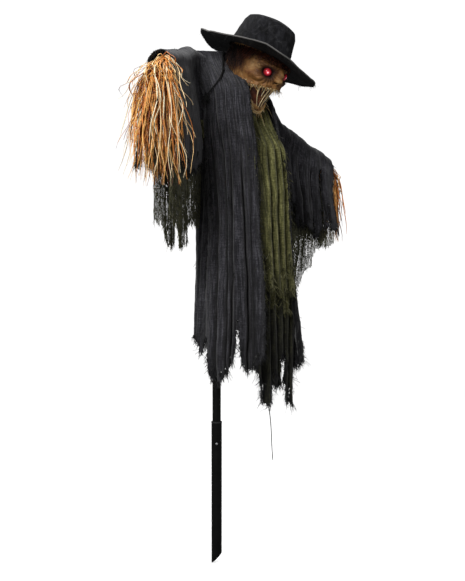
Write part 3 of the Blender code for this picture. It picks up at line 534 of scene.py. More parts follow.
class Cloth:
    """A torn panel of gauze. place(u, v) lays it out; size is its cut width and length in metres."""

    def __init__(self, name, place, size, cell, folds, alive, on="pole", look="coat", slot=None,
                 fibre="coat_fibre", held_row=0.0):
        columns, rows = (int(round(s / c)) for s, c in zip(size, cell))
        u, v = grid(rows + 1, columns + 1)
        s, t = u * size[0], v * size[1]
        base = place(u, v)
        push, slide = folds(s, t)
        normal = grid_normals(base)
        across = unit(np.gradient(base, axis=1))
        self.points = base + normal * push[..., None] + across * slide[..., None]
        # Painted shade for the fold map: 0 dark in a fold's hollow, 1 light on its ridge, and darker again
        # over the last half of the cut length.
        outward = np.sign((normal * (base - (0.0, -0.09, 0.0)) * (1, 1, 0)).sum(-1))
        ridge = np.clip(0.5 + 0.5 * push * outward / DEEP_FOLD, 0.0, 1.0)
        ridge = ridge * (1.0 - 0.45 * smooth(0.45, 0.95, t / size[1]))
        middle = [(a[:-1, :-1] + a[1:, :-1] + a[:-1, 1:] + a[1:, 1:]) * 0.25 for a in (s, t)]
        self.held_row = int(held_row * (rows - 1))
        self.kept = joined_to_row(alive(*middle, self.points[:-1, :-1]), self.held_row)
        self.name, self.slot, self.on, self.fibre = name, slot or look, on, fibre
        self.object = solid_mesh(name, self.points, quads(rows + 1, columns + 1)[self.kept],
                                 np.stack([s, -t], -1), look, on, np.stack([ridge, ridge], -1))
        thicken(self.object, CLOTH_THICK, 0.0)
        self.extras = []

    def fray(self, share, length, radius=0.0005, away=0.3, curl=0.3):
        """Loose threads along the torn edges."""
        edge = torn_edge(self.kept)
        edge[self.held_row] = False
        roots = self.points[edge]
        count = int(len(roots) * share)
        roots = roots[RNG.integers(0, len(roots), count)]
        roots = roots + RNG.normal(0, 0.0006, roots.shape) + (0, 0, 0.0015)
        lengths = np.minimum(RNG.exponential(length, count) + 0.003, length * 2.2)
        paths = hanging(roots, lengths, 5, away, curl)
        radii = radius * np.linspace(1.0, 0.6, 5)[None, :] * RNG.uniform(0.7, 1.4, (count, 1))
        self.extras.append(strands(f"{self.name}_fray", paths, radii, self.fibre, self.on))

    def declare(self, hides=()):
        """Hides the CAD nodes that the sheet stands in for."""
        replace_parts(self.object, *hides)


def torn_edge(kept):
    kept = np.pad(kept, 1, constant_values=False)
    near = np.stack([kept[:-1, :-1], kept[1:, :-1], kept[:-1, 1:], kept[1:, 1:]])
    return near.any(0) & ~near.all(0)


def joined_to_row(kept, row):
    """Drops the scraps that no longer hang from the row that is held."""
    seen = np.zeros_like(kept)
    seen[row] = kept[row]
    for _ in range(4 * sum(kept.shape)):
        grown = seen.copy()
        grown[1:] |= seen[:-1]
        grown[:-1] |= seen[1:]
        grown[:, 1:] |= seen[:, :-1]
        grown[:, :-1] |= seen[:, 1:]
        grown &= kept
        if (grown == seen).all():
            break
        seen = grown
    return seen


def ragged(length, deep, seed, strips=0.05, level=None, thin=0.0):
    """alive(s, t, points) for a cloth whose lower edge is torn to depth deep, with a few slits."""

    def alive(s, t, points):
        edge = length if level is None else t + level(points)
        torn = half_ripple(s / strips, seed, 2) ** 1.4 + half_ripple(s / 0.008, seed + 5, 3, 3) ** 1.6
        lowest = edge - deep * 0.5 * torn
        slit = np.abs(ripple(s / (strips * 0.6) + 0.06 * ripple(t / 0.05, seed + 9), seed + 8, 1))
        slit = (slit < 0.035) & (t > lowest - deep * 1.3)
        worn = 0.86 - 0.45 * smooth(deep * 1.2, 0.0, lowest - t)
        moth = rough(s / 0.01, t / 0.016, seed + 11, 2) > worn
        if thin:
            open_weave = thin * smooth(0.8, 0.05, (lowest - t) / length)
            between = np.arange(s.shape[1])[None, :] % 2 == 1
            moth |= between & (0.5 + 0.62 * rough(s / 0.003, t / 0.005, seed + 13, 2) < open_weave)
        return (t < lowest) & ~slit & ~moth

    return alive


def hem(levels):
    """How far points lie above a hem whose height is set by their place across the figure's front."""
    height = table(levels)
    return lambda points: points[..., 2] - height(points[..., 0] - points[..., 1])


def vertical_folds(seed, big, small, start=0.05, grow=0.6):
    """Folds that hang down a panel and deepen as they go."""

    def folds(s, t):
        depth = (0.3 + 0.7 * smooth(0.0, grow, t)) * smooth(-0.001, start, t)
        wander = 0.02 * rough(t / 0.3, s * 2.0, seed + 1, 2)
        wide = rough((s + wander) / 0.06, t / 0.9, seed + 2, 2)
        narrow = rough((s + 0.6 * wander) / 0.02, t / 0.3, seed + 3, 2)
        pinch = np.maximum(1.0 - 3.0 * np.abs(rough((s + wander) / 0.045, t / 0.7, seed + 4, 1)), 0)
        crumple = rough(s / 0.018, t / 0.03, seed + 6, 2)
        push = depth * (big * (wide - 0.75 * pinch ** 2) + small * narrow) + 0.0016 * crumple
        return push, 0.35 * big * depth * rough((s + wander) / 0.05, t / 0.6, seed + 7, 1)

    return folds


# ---- places in the frame
def turn_x(angle, points):
    c, s = cos(angle), sin(angle)
    x, y, z = np.moveaxis(points, -1, 0)
    return xyz(x, y * c - z * s, y * s + z * c)


def turn_y(angle, points):
    c, s = cos(angle), sin(angle)
    x, y, z = np.moveaxis(points, -1, 0)
    return xyz(x * c + z * s, y, z * c - x * s)


def head_place(points, hat=False):
    """From the head's own frame (face towards -Y) to the row frame."""
    points = np.asarray(points, float)
    if hat:
        points = turn_y(HAT_ROLL, turn_x(HAT_PITCH, points))
    return turn_x(HEAD_PITCH, points) + HEAD_PIVOT


def arm_heading(side):
    return np.array((cos(HEADINGS[side]), sin(HEADINGS[side]), 0.0))


def arm_blend(side):
    """The pole and an arm, and two points between them, for a piece that hangs from both; the piece stays
    where it is made and is attached to neither.
    """
    sign = SIDES[side]
    return "pole", f"{side}_arm", (sign * 0.13, -0.05, 1.5), (sign * 0.23, -0.05, 1.5)


def droop_of(side, a):
    """How far an arm has drooped, a out along it."""
    return np.maximum(0.0, a - 0.03) * tan(DROOPS[side])


def arm_place(side, a, b, z):
    """A point a out along an arm, b towards the figure's front, z above its centre line."""
    sign, out = SIDES[side], arm_heading(side)
    front = sign * np.array((out[1], -out[0], 0.0))
    bar = sign * np.array((cos(BAR_ROLL), 0.0, -sin(BAR_ROLL)))
    a, b, z = np.broadcast_arrays(a, b, z)
    point = PIVOTS[side] + out * np.maximum(a, 0.0)[..., None] + bar * np.minimum(a, 0.0)[..., None]
    turn = smooth(-0.06, 0.05, a)[..., None]
    point = point + unit(front * turn + np.array((0.0, -1.0, 0.0)) * (1 - turn)) * b[..., None]
    point[..., 2] += z - droop_of(side, a)
    return point


# ---- coat
# The fronts' free edges, (x, y) by height.
EDGES = {
    "right": table([(0.58, (-0.056, -0.262)), (0.795, (-0.055, -0.264)), (0.93, (-0.055, -0.26)),
                    (1.092, (-0.065, -0.25)), (1.224, (-0.065, -0.246)), (1.361, (-0.06, -0.233)),
                    (1.44, (-0.07, -0.226)), (1.503, (-0.076, -0.22))]),
    "left": table([(0.6, (0.12, -0.27)), (0.8, (0.108, -0.264)), (1.1, (0.086, -0.246)),
                   (1.3, (0.08, -0.236)), (1.5, (0.082, -0.168))]),
}
COAT_TOP = 1.5
# Long creases down the coat's fronts: (place, lean, depth, width).
CREASES = [(0.195, -0.03, 0.03, 0.005), (0.135, -0.01, 0.022, 0.0065), (0.098, 0.012, 0.018, 0.005),
           (0.062, -0.008, 0.022, 0.006)]
# How a torn edge frays: its threads' radius, spread and curl.
WOOLLY = (0.0008, 0.32, 0.9)
NECK_AND_SHOULDER = {"right": (1.677, 1.668), "left": (1.632, 1.548)}
# Hem heights by place across the front (x - y).
BACK_HEM = [(-0.1, 0.76), (-0.083, 0.75), (-0.076, 0.706), (-0.06, 0.706), (-0.05, 0.755),
            (-0.02, 0.79), (0.1, 0.8), (0.3, 0.78)]
FRONT_HEMS = {
    "right": [(-0.06, 0.745), (-0.04, 0.725), (-0.036, 0.66), (-0.02, 0.622), (0.0, 0.605), (0.03, 0.625),
              (0.062, 0.665), (0.08, 0.705), (0.088, 0.765), (0.096, 0.765), (0.106, 0.68), (0.125, 0.655),
              (0.16, 0.67), (0.2, 0.685), (0.24, 0.7)],
    "left": [(0.27, 0.68), (0.3, 0.665), (0.345, 0.66), (0.352, 0.65), (0.405, 0.66), (0.43, 0.72)],
}
RAG_HEM = [(0.16, 0.66), (0.195, 0.62), (0.2, 0.545), (0.235, 0.525), (0.24, 0.595), (0.285, 0.595),
           (0.29, 0.7), (0.312, 0.7), (0.316, 0.545), (0.35, 0.535), (0.356, 0.64), (0.42, 0.64)]


def outline(angle, z):
    """The coat's plan: angle 0 is the middle of the back, pi the front."""
    fall = np.clip((COAT_TOP - z) / 0.84, -0.2, 1.2)
    half_x = 0.146 + 0.03 * fall
    half_y = 0.112 + 0.032 * smooth(0.0, 0.5, fall)
    centre_y = 0.022 - half_y
    return half_x * np.sin(angle), centre_y + half_y * np.cos(angle)


def panel_z(v, row):
    return np.interp(v, (row, 1.0), (COAT_TOP, 0.6))


def to_shoulder(x, y, v, row, top, power=1.0):
    """Draws the part of a panel above row in to the top line that it hangs from."""
    rise = smooth(row, 0.0, v) ** power
    high = COAT_TOP + (top[2] - COAT_TOP) * (1 - v / row)
    return xyz(x + (top[0] - x) * rise, y + (top[1] - y) * rise, np.where(v >= row, panel_z(v, row), high))


def make_back():
    def place(u, v):
        angle = radians(-96) + radians(192) * u
        x, y = outline(angle, panel_z(v, 0.17))
        top_x = 0.165 * np.sin(angle)
        top_y = 0.024 - 0.055 * np.abs(np.sin(angle)) ** 2.2
        top_z = 1.615 - top_x * tan(BAR_ROLL) + 0.045 * bell(top_x, 0.0, 0.07)
        return to_shoulder(x, y, v, 0.17, (top_x, top_y, top_z))

    def folds(s, t):
        push, slide = vertical_folds(101, 0.018, 0.003)(s, t)
        return np.clip(push, -0.008, 0.017), slide

    back = Cloth("coat_back_cloth", place, (0.52, 1.07), (0.0032, 0.0045), folds,
                 ragged(1.06, 0.035, 11, 0.06, hem(BACK_HEM)))
    back.fray(2.4, 0.008, *WOOLLY)
    back.declare(["coat_back"])


def front_place(side):
    sign = SIDES[side]
    neck_z, shoulder_z = NECK_AND_SHOULDER[side]

    def place(u, v):
        z = panel_z(v, 0.18)
        edge = EDGES[side](z)
        x, y = outline(radians(88) + radians(69) * (1 - u), z)
        rim_x, rim_y = outline(radians(157), z)
        pull = (1 - u) ** 2
        x = sign * x + (edge[..., 0] - rim_x * sign) * pull
        y = y + (edge[..., 1] - rim_y) * pull
        if side == "left":
            flare = smooth(1.05, 0.7, z) * (1 - u) ** 0.5 * u ** 0.3
            x, y = x + 0.035 * flare, y - 0.014 * flare
        top = sign * (0.045 + 0.12 * u), -0.1 + 0.058 * u, neck_z + (shoulder_z - neck_z) * u ** 1.4
        return to_shoulder(x, y, v, 0.18, top, 1.3)

    return place


def make_fronts():
    for side, sign in SIDES.items():
        def folds(s, t):
            push, slide = vertical_folds(131 + sign, 0.02, 0.003)(s, t)
            edge = smooth(0.0, 0.02, s)
            push = push * (0.35 + 0.65 * edge) - 0.01 * bell(s, 0.03, 0.01) * smooth(0.1, 0.4, t)
            for at, lean, deep, wide in CREASES:
                line = at + lean * t + 0.004 * ripple(t / 0.12, 137, 2)
                push = push - deep * bell(s, line, wide) * smooth(0.2, 0.5, t)
            return -sign * push, slide * edge

        front = Cloth(f"coat_front_{side}_cloth", front_place(side), (0.225, 1.07), (0.0028, 0.0042), folds,
                      ragged(1.07, 0.05, 41 + sign, 0.028, hem(FRONT_HEMS[side])))
        front.fray(3.4, 0.008, *WOOLLY)
        front.declare([f"coat_front_{side}", f"coat_{side}_shoulder"])


def make_collar():
    def place(u, v):
        turn = (u - 0.5) * 2
        x = 0.088 * turn
        y = 0.0235 - 0.045 * np.abs(turn) ** 2.4 + 0.007 * v
        return xyz(x, y, 1.668 - x * tan(BAR_ROLL) * 0.6 - v * 0.14)

    def folds(s, t):
        return vertical_folds(171, 0.004, 0.0016)(s, t + 0.2)

    def alive(s, t, points):
        return t > 0.006 + 0.006 * ripple(s / 0.02, 5)

    collar = Cloth("collar_cloth", place, (0.21, 0.14), (0.003, 0.003), folds, alive)
    collar.declare(["coat_collar"])


# ---- sleeves
# How high a sleeve's ridge lies over the arm's centre line, by distance out along the arm.
RIDGE = {
    "right": table([(-0.12, 0.082), (-0.03, 0.043), (0.02, 0.036), (0.1, 0.028), (0.2, 0.034),
                    (0.285, 0.037), (0.3, 0.03)]),
    "left": table([(-0.12, 0.055), (-0.02, 0.038), (0.06, 0.038), (0.085, 0.013), (0.11, 0.012),
                   (0.15, 0.019), (0.185, 0.012), (0.215, 0.02), (0.25, 0.027), (0.278, 0.026), (0.3, 0.01)]),
}
# The tear in the right sleeve: how far out along the arm, and how far down from the ridge.
TEAR = (0.042, 0.285)
# A sleeve's inner end, its width along the arm, and its cut length from the ridge to each hem.
SLEEVE_FROM = -0.115
SLEEVE_WIDE = ARM_REACH - SLEEVE_FROM
SLEEVE_HALF = 0.5
SLEEVE_CREASES = {"right": (0.06, 0.11), "left": (0.275, 0.315, 0.355)}
HEM_Z = {"right": 1.18, "left": 1.045}
# The cheesecloth below each sleeve: from and to along the arm, its top, its foot and how open it is.
GAUZE_SPAN = {"right": (-0.07, 0.3, 1.36, 1.02, 1.0), "left": (0.075, 0.285, 1.26, 0.9, 0.9)}
GAUZE_HEM = {
    "right": table([(-0.07, 1.1), (0.085, 1.1), (0.1, 1.03), (0.21, 1.025), (0.24, 1.08), (0.3, 1.095)]),
    "left": table([(0.075, 0.925), (0.15, 0.91), (0.17, 0.965), (0.2, 0.98), (0.22, 1.05), (0.3, 1.06)]),
}


def sleeve_place(side):
    """Over the arm like a saddle cloth: v runs from the back hem, over the arm, to the front hem."""

    def place(u, v):
        a = SLEEVE_FROM + SLEEVE_WIDE * u
        turn = (v - 0.5) * 2
        crown = 0.036 + 0.02 * smooth(0.0, -0.11, a)
        arc = crown * pi / 2
        down = np.abs(turn) * SLEEVE_HALF
        bend = np.clip(down / arc, 0, 1) * pi / 2
        below = np.maximum(down - arc, 0)
        height = RIDGE[side](a) - crown * (1 - np.cos(bend)) - below
        half = crown * np.sin(bend) + 0.03 * smooth(0.0, 0.3, below)
        half = half + 0.015 * smooth(-0.02, -0.11, a) * smooth(0.0, 0.1, below)
        swag = 0.01 * smooth(0.0, 0.05, below) * rough(a / 0.05, below / 0.25, 207 + SIDES[side], 1)
        front = np.sign(turn)
        a = a + 0.02 * smooth(0.05, 0.3, below) * (a - 0.1) / 0.2 - front * 0.01 * smooth(0, 0.1, below)
        return arm_place(side, a, front * (half + swag), height)

    return place


def make_sleeves():
    for side, sign in SIDES.items():
        def folds(s, t):
            fall = np.abs(t - SLEEVE_HALF)
            push, slide = vertical_folds(211 + sign, 0.011, 0.0026, 0.03, 0.35)(s, fall)
            for at in SLEEVE_CREASES[side]:
                line = at + 0.006 * ripple(fall / 0.1, 219, 2)
                push = push - 0.02 * bell(s, line, 0.005) * smooth(0.04, 0.16, fall)
            gather = 0.003 * rough(s / 0.018, fall / 0.05, 221 + sign, 2) * smooth(0.1, 0.0, fall)
            mouth = smooth(SLEEVE_WIDE - 0.03, SLEEVE_WIDE, s)
            return -sign * (push + gather) * (1 - 0.5 * mouth), slide * 0.6

        def alive(s, t, points):
            a = SLEEVE_FROM + s
            fall, half = np.abs(t - SLEEVE_HALF), np.sign(t - SLEEVE_HALF)
            drop = PIVOTS[side][2] - HEM_Z[side] - droop_of(side, a)
            drop = drop - sign * np.minimum(a, 0.0) * sin(BAR_ROLL)
            seam = 0.03 + 0.38 * smooth(-0.115, 0.015, a) ** 1.5
            limit = np.minimum(np.minimum(drop, 0.47), seam)
            wide = half_ripple(s / 0.045, 231 + sign, 2, half * 3.0)
            fine = half_ripple(s / 0.01, 241 + sign, 3, half * 3.0)
            torn = limit - (0.05 * wide + 0.03 * fine ** 1.5) * smooth(-0.02, 0.05, a)
            mouth = SLEEVE_WIDE - 0.004 - 0.008 * half_ripple(t / 0.014, 251 + sign)
            slit = np.abs(ripple(s / 0.03 + 0.3 * ripple(t / 0.06, 7), 261 + sign, 1, half)) < 0.055
            slit &= fall > limit - 0.12
            if side == "left":
                slit |= (np.abs(s - 0.345 + 0.02 * (fall - 0.2)) < 0.0045) & (fall > 0.1) & (half > 0)
            else:
                slit |= ((a - TEAR[0]) / 0.012) ** 2 + ((t - SLEEVE_HALF - TEAR[1]) / 0.034) ** 2 < 1
            moth = rough(s / 0.012, t / 0.02, 271 + sign, 2) > 0.88 - 0.5 * smooth(0.09, 0.0, torn - fall)
            return (fall < torn) & (s < mouth) & ~slit & ~moth

        sleeve = Cloth(f"{side}_sleeve_cloth", sleeve_place(side), (SLEEVE_WIDE, 2 * SLEEVE_HALF),
                       (0.0032, 0.0042), folds, alive, arm_blend(side), held_row=0.5)
        sleeve.fray(2.6, 0.007, 0.0007, 0.32, 0.8)
        sleeve.declare([f"{side}_sleeve"])


def make_sleeve_gauze():
    """Worn-out cheesecloth that hangs below each sleeve, more holes than cloth at its foot."""
    for side, sign in SIDES.items():
        a0, a1, top, low, thin = GAUZE_SPAN[side]
        for layer in range(2):
            def place(u, v):
                b = 0.03 - 0.04 * layer + 0.008 * np.sin(9 * u + layer)
                point = arm_place(side, a0 + (a1 - a0) * u, b, 0.0)
                point[..., 2] = top + (low - top) * v
                return point

            def above(points):
                away = np.linalg.norm((points - PIVOTS[side])[..., :2], axis=-1)
                return points[..., 2] - GAUZE_HEM[side](away)

            net = Cloth(f"{side}_gauze{layer or ''}", place, (a1 - a0, top - low), (0.0024, 0.003),
                        vertical_folds(301 + 20 * layer + sign, 0.01, 0.003),
                        ragged(top - low, 0.035, 311 + layer + sign, 0.03, above, thin),
                        arm_blend(side), "gauze", "rag", "green_fibre")
            net.fray(0.6, 0.006, 0.0004)
            net.declare([] if layer else [f"{side}_sleeve_gauze"])


# ---- what shows in the coat's opening
# Where the layers lie, y by height, and how they narrow at the throat.
LAY = table([(0.93, -0.246), (1.1, -0.238), (1.224, -0.234), (1.361, -0.215), (1.44, -0.172), (1.503, -0.15),
             (1.56, -0.128), (1.62, -0.108)])
THROAT = table([(1.3, 1.0), (1.45, 0.85), (1.6, 0.6)])
# Name, look, x and z ranges, step back, seed, depth of its rags, how it narrows, hem and hidden solids.
LAYERS = [
    ("green_shirt", "green", (-0.072, 0.1), (1.585, 0.875), 0.0, 401, 0.09, THROAT, None, ["green_cloth"]),
    ("green_shirt_inner", "green", (-0.06, 0.09), (1.52, 0.83), 0.012, 421, 0.1, THROAT, None, []),
    ("rag_layer", "rag", (-0.074, 0.128), (1.33, 0.515), 0.016, 441, 0.035, np.ones_like, hem(RAG_HEM),
     ["ragged_layer"]),
]


def make_green():
    """Two pleated green layers, which narrow at the throat, and a dark ragged one behind them."""
    for name, look, across, down, back, seed, rag, narrow, level, hides in LAYERS:
        x_low, x_high = across
        z_top, z_low = down

        def place(u, v):
            z = z_top + (z_low - z_top) * v
            x = (x_low + x_high) / 2 + (x_high - x_low) * (u - 0.5) * narrow(z)
            y = LAY(z) + back + 0.11 * np.maximum(x - 0.035, 0) ** 1.2
            return xyz(x, y + 0.3 * np.maximum(-0.05 - x, 0), z)

        def folds(s, t):
            push, slide = vertical_folds(seed, 0.0085, 0.002, 0.02, 0.35)(s, t)
            wander = 0.8 * rough(s / 0.06, t / 0.7, seed + 3, 2)
            wander = wander + 0.25 * rough(s / 0.2, t / 0.25, seed + 5, 2)
            pleat = np.abs(np.sin((s / 0.036 + wander) * pi))
            return -push - 0.028 * (pleat ** 0.55 - 0.6) * smooth(0.0, 0.12, t), slide

        cloth = Cloth(name, place, (x_high - x_low, z_top - z_low), (0.0024, 0.0042), folds,
                      ragged(z_top - z_low, rag, seed, 0.035, level), look=look,
                      fibre="green_fibre" if look == "green" else "coat_fibre")
        cloth.fray(3.0, 0.009, *WOOLLY)
        cloth.declare(hides)


def make_threads():
    """A long loose thread below the hem, and the armhole's raised seam, which ends in a tuft."""
    t = np.linspace(0, 1, 24)[:, None]
    start, end = np.array((0.062, -0.175, 0.545)), np.array((0.08, -0.182, 0.358))
    long_one = start + (end - start) * t + np.array((0.003, 0.0, 0)) * np.sin(5 * t)
    strands("loose_thread", long_one[None], 0.0016, "coat_fibre", "pole", 5, 0.1)
    along = np.linspace(0.14, 0.9, 40)
    seam = np.polyfit((0.14, 0.29, 0.51, 0.71, 0.9), (0.004, 0.058, 0.112, 0.139, 0.165), 3)
    line = front_place("right")(along, np.polyval(seam, along)) + (-0.005, -0.006, 0.002)
    twin = line + RNG.normal(0, 0.0008, line.shape) + (0.002, 0.0, 0.0)
    strands("armhole_seam", np.stack([line, twin]), 0.0024, "black_fibre", "pole", 6)
    fuzz("armhole_tuft", line[-1] + RNG.normal(0, 0.003, (70, 3)), RNG.uniform(0.008, 0.03, 70), 0.0008,
         "black_fibre", "pole", 6, 0.5)
    u = (TEAR[0] - SLEEVE_FROM) / SLEEVE_WIDE
    behind = sleeve_place("right")(np.array([u]), np.array([0.5 + TEAR[1] - 0.03]))[0]
    roots = behind + RNG.uniform(-1, 1, (160, 3)) * (0.012, 0.004, 0.006) + (0.006, 0.012, 0.0)
    fuzz("torn_scrap", roots, RNG.uniform(0.03, 0.065, 160), 0.0012, "green_fibre", arm_blend("right"),
         6, 0.1, 0.12)


# ---- straw hands
def make_straw(side, count, top_lift, low_z, wide, reach):
    """A bundle of raffia bound to the arm's end: it springs out, then falls."""

    def draw(low=0.0, high=1.0):
        return RNG.uniform(low, high, (count, 1))

    out = arm_heading(side)
    across = np.array((-out[1], out[0], 0.0))
    up = np.array((0.0, 0.0, 1.0))
    end = arm_place(side, ARM_REACH - 0.012, 0.0, 0.0)
    angle = draw(0, 2 * pi)
    radius = np.sqrt(draw())
    t = np.linspace(0, 1, 14)
    start = end + (across * np.cos(angle) + up * np.sin(angle)) * radius * 0.015
    spread_out = reach * (1 + 1.5 * radius * np.cos(angle)) + draw(-0.02, 0.02)
    spread_side = wide * radius * np.sin(angle) + RNG.normal(0, wide * 0.16, (count, 1))
    lift = top_lift * (0.3 + draw())
    drop = (start[:, 2:] - low_z) * draw(0.6, 1.0)
    drop = np.where(draw() < 0.4, drop * draw(0.2, 0.8), drop)
    leave = 1 - (1 - t) ** 6
    wave = draw(0, 2 * pi)
    turns = draw(5, 15)
    wobble = draw(0.004, 0.015) * t ** 0.5 * wide / 0.08
    kink = draw(-0.5, 0.5) * wide * np.maximum(t - draw(0.2, 0.8), 0)
    along = spread_out * leave * (0.9 + 0.3 * t) + wobble * np.sin(wave + t * turns)
    aside = spread_side * (0.3 * leave + 0.7 * t ** 0.7) + draw(-0.34, 0.27) * wide * t
    aside = aside + wobble * np.cos(wave * 2 + t * turns * 0.8) + kink
    height = lift * 4 * t * np.exp(-t * 7) * 1.6 - drop * t ** 1.15
    paths = start[:, None] + out * along[..., None] + across * aside[..., None] + up * height[..., None]
    width = draw(0.0011, 0.0025) * np.interp(t, (0, 0.1, 0.8, 1), (0.8, 1, 0.85, 0.3))
    # Painted shade inside the bundle: strands near its core pick darker colours, on top of a random spread of
    # the straw's own tones.
    pick = np.clip(RNG.beta(1.1, 1.0, (count, 1)) * 0.8 + 0.55 * (radius - 0.5), 0, 1)
    bundle = strands(f"{side}_straw", paths, width, "straw", f"{side}_arm", 4, pick, 0.45)
    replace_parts(bundle, f"{side}_straw_hand")


def make_tie(side):
    """Twine wound round the bundle where it meets the arm."""
    turn = np.linspace(0, 2 * pi * 7, 220)
    r = 0.0118 + 0.0008 * np.sin(turn * 0.37)
    line = arm_place(side, ARM_REACH - 0.013 + 0.013 * turn / turn[-1], r * np.cos(turn),
                     r * np.sin(turn) / cos(DROOPS[side]))
    tie = strands(f"{side}_twine_tie", line[None], 0.0011, "twine", f"{side}_arm", 8, 0.5)
    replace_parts(tie, f"{side}_straw_tie")


# ---- head
SKULL = np.array((0.078, 0.106, 0.122))
SKULL_CENTRE = np.array((0.0, -0.034, -0.03))
SOCKET_X, SOCKET_Z = 0.036, -0.02
EYE_RADIUS = 0.0132
EYE_TURN = radians(38)
# The mask's hills and hollows, the same on both sides: how far each stands out, its x, z, width and height.
FACE = [(0.009, 0.03, 0.0, 0.026, 0.008), (-0.022, 0.036, -0.02, 0.014, 0.011),
        (0.016, 0.0, -0.018, 0.008, 0.018), (0.01, 0.0, -0.033, 0.011, 0.007),
        (-0.008, 0.008, -0.042, 0.0045, 0.004), (0.009, 0.05, -0.04, 0.018, 0.01),
        (-0.009, 0.062, -0.06, 0.014, 0.012), (0.004, 0.0, -0.052, 0.04, 0.005)]


def face_relief(x, z):
    """How far the mask stands out from the plain skull, by its place seen from in front."""
    ax = np.abs(x)
    relief = 0.006 * smooth(0.01, -0.012, z)
    for out, at_x, at_z, wide, high in FACE:
        relief = relief + out * bell(ax, at_x, wide) * bell(z, at_z, high)
    crease = rough(x / 0.012 + 2.2 * np.abs(rough(z / 0.03, x / 0.05, 511, 2)), z / 0.0075, 503, 3)
    fan = np.abs(np.sin(np.arctan2(z + 0.02, ax - 0.03) * 9 + 2.0 * rough(x / 0.02, z / 0.02, 505, 2)))
    near_eye = bell(np.hypot(ax - SOCKET_X, z - SOCKET_Z), 0.026, 0.01)
    return relief - 0.0022 * near_eye * (1 - fan) + 0.0016 * crease


def under_hat(angle):
    """The height of the hat's brim above the head's own zero, all round (0 in front, left positive)."""
    return 0.019 * np.cos(angle) - 0.018 * np.sin(angle)


def round_head(angle, z, wide, deep):
    """A point at height z: wide and deep are shares of the skull's own reach."""
    return xyz(SKULL[0] * wide * np.sin(angle), SKULL_CENTRE[1] - SKULL[1] * deep * np.cos(angle), z)


def make_mask():
    """A sackcloth face stretched over the skull, with sunken sockets and a torn upper lip."""
    u, v = grid(150, 230, -1)
    angle = u * radians(94)
    z_low = -0.056 - 0.02 * smooth(0.1, 0.75, np.abs(u)) + 0.003 * ripple(u / 0.06, 521)
    z_top = 0.012 + under_hat(angle)
    z = z_top + (z_low - z_top) * v
    height = np.clip(1 - ((z - SKULL_CENTRE[2]) / SKULL[2]) ** 2, 0.02, 1) ** 0.5
    base = round_head(angle, z, height, height)
    normal = grid_normals(base)
    normal *= np.sign((normal * (base - SKULL_CENTRE)).sum(-1, keepdims=True))
    front = smooth(1.25, 0.75, np.abs(angle))
    relief = face_relief(base[..., 0], z) * front + 0.0012 + 0.0014 * rough(angle / 0.2, z / 0.02, 531, 3)
    curl = 0.006 * smooth(0.9, 1.0, v) * (0.4 + ripple(u / 0.05, 535, 2))
    points = base + normal * (relief + curl)[..., None]
    x, z_mid = (points[:-1, :-1, i] * 0.5 + points[1:, 1:, i] * 0.5 for i in (0, 2))
    from_x, from_z = np.abs(x) - SOCKET_X, z_mid - SOCKET_Z
    around = np.hypot(from_x / 0.0135, from_z / 0.0105)
    wobble = 1 + 0.14 * ripple(np.arctan2(from_z, from_x) * 1.5, 541, 2, np.sign(x) * 2)
    nostril = np.hypot((np.abs(x) - 0.0065) / 0.003, (z_mid + 0.0405) / 0.0036) < 1
    kept = (around > wobble) & ~(nostril & (front[:-1, :-1] > 0.9))
    head_sheet("sack_mask", points, (u * 0.15, z), "mask", "face_mask", 0.0018, kept=kept)
    lip = points[-1, 40:-40:2]
    roots = np.repeat(lip, 3, 0) + RNG.normal(0, 0.001, (len(lip) * 3, 3))
    lengths = RNG.exponential(0.005, len(roots)) + 0.002
    fuzz("mask_fray", head_place(roots), lengths, 0.00035, "twine", "head", heading=(0, -0.3, -1))


def make_skull():
    """The sack's back, gathered at the neck, and the dark lining behind the mouth and the eye holes."""
    u, v = grid(110, 160)
    angle = radians(96) + u * radians(168)
    tilt = radians(40) - v * radians(92)
    base = round_head(angle, SKULL_CENTRE[2] + SKULL[2] * np.sin(tilt), np.cos(tilt), np.cos(tilt))
    gather = 0.0045 * rough(angle / 0.12, v * 2.0, 551, 2) * smooth(0.35, 1.0, v)
    relief = 0.0012 + 0.0018 * rough(angle / 0.25, v * 7, 553, 3) + gather
    points = base + unit(base - SKULL_CENTRE) * relief[..., None]
    head_sheet("sack_back", points, (u * 0.3, v * 0.2), "mask", "skull_shell", 0.0016)
    u, v = grid(44, 70, -1)
    angle = u * radians(88)
    z = 0.01 - 0.146 * v
    wide = 0.9 * (1 - 0.25 * smooth(0.6, 1.0, v))
    points = round_head(angle, z, wide, 0.84 - 0.03 * smooth(0.42, 0.62, v))
    points[..., 1] += 0.002 * rough(angle / 0.2, z / 0.02, 561, 3)
    head_sheet("mouth_lining", points, (u * 0.1, -z), "mouth", thick=0.0012)


def jaw_line(turn):
    """The middle of the jaw's band: turn 0 is the chin."""
    front = np.maximum(np.cos(turn), 0.0)
    return xyz(0.052 * np.sin(turn), -0.04 - 0.075 * front, -0.094 - 0.049 * front ** 1.5)


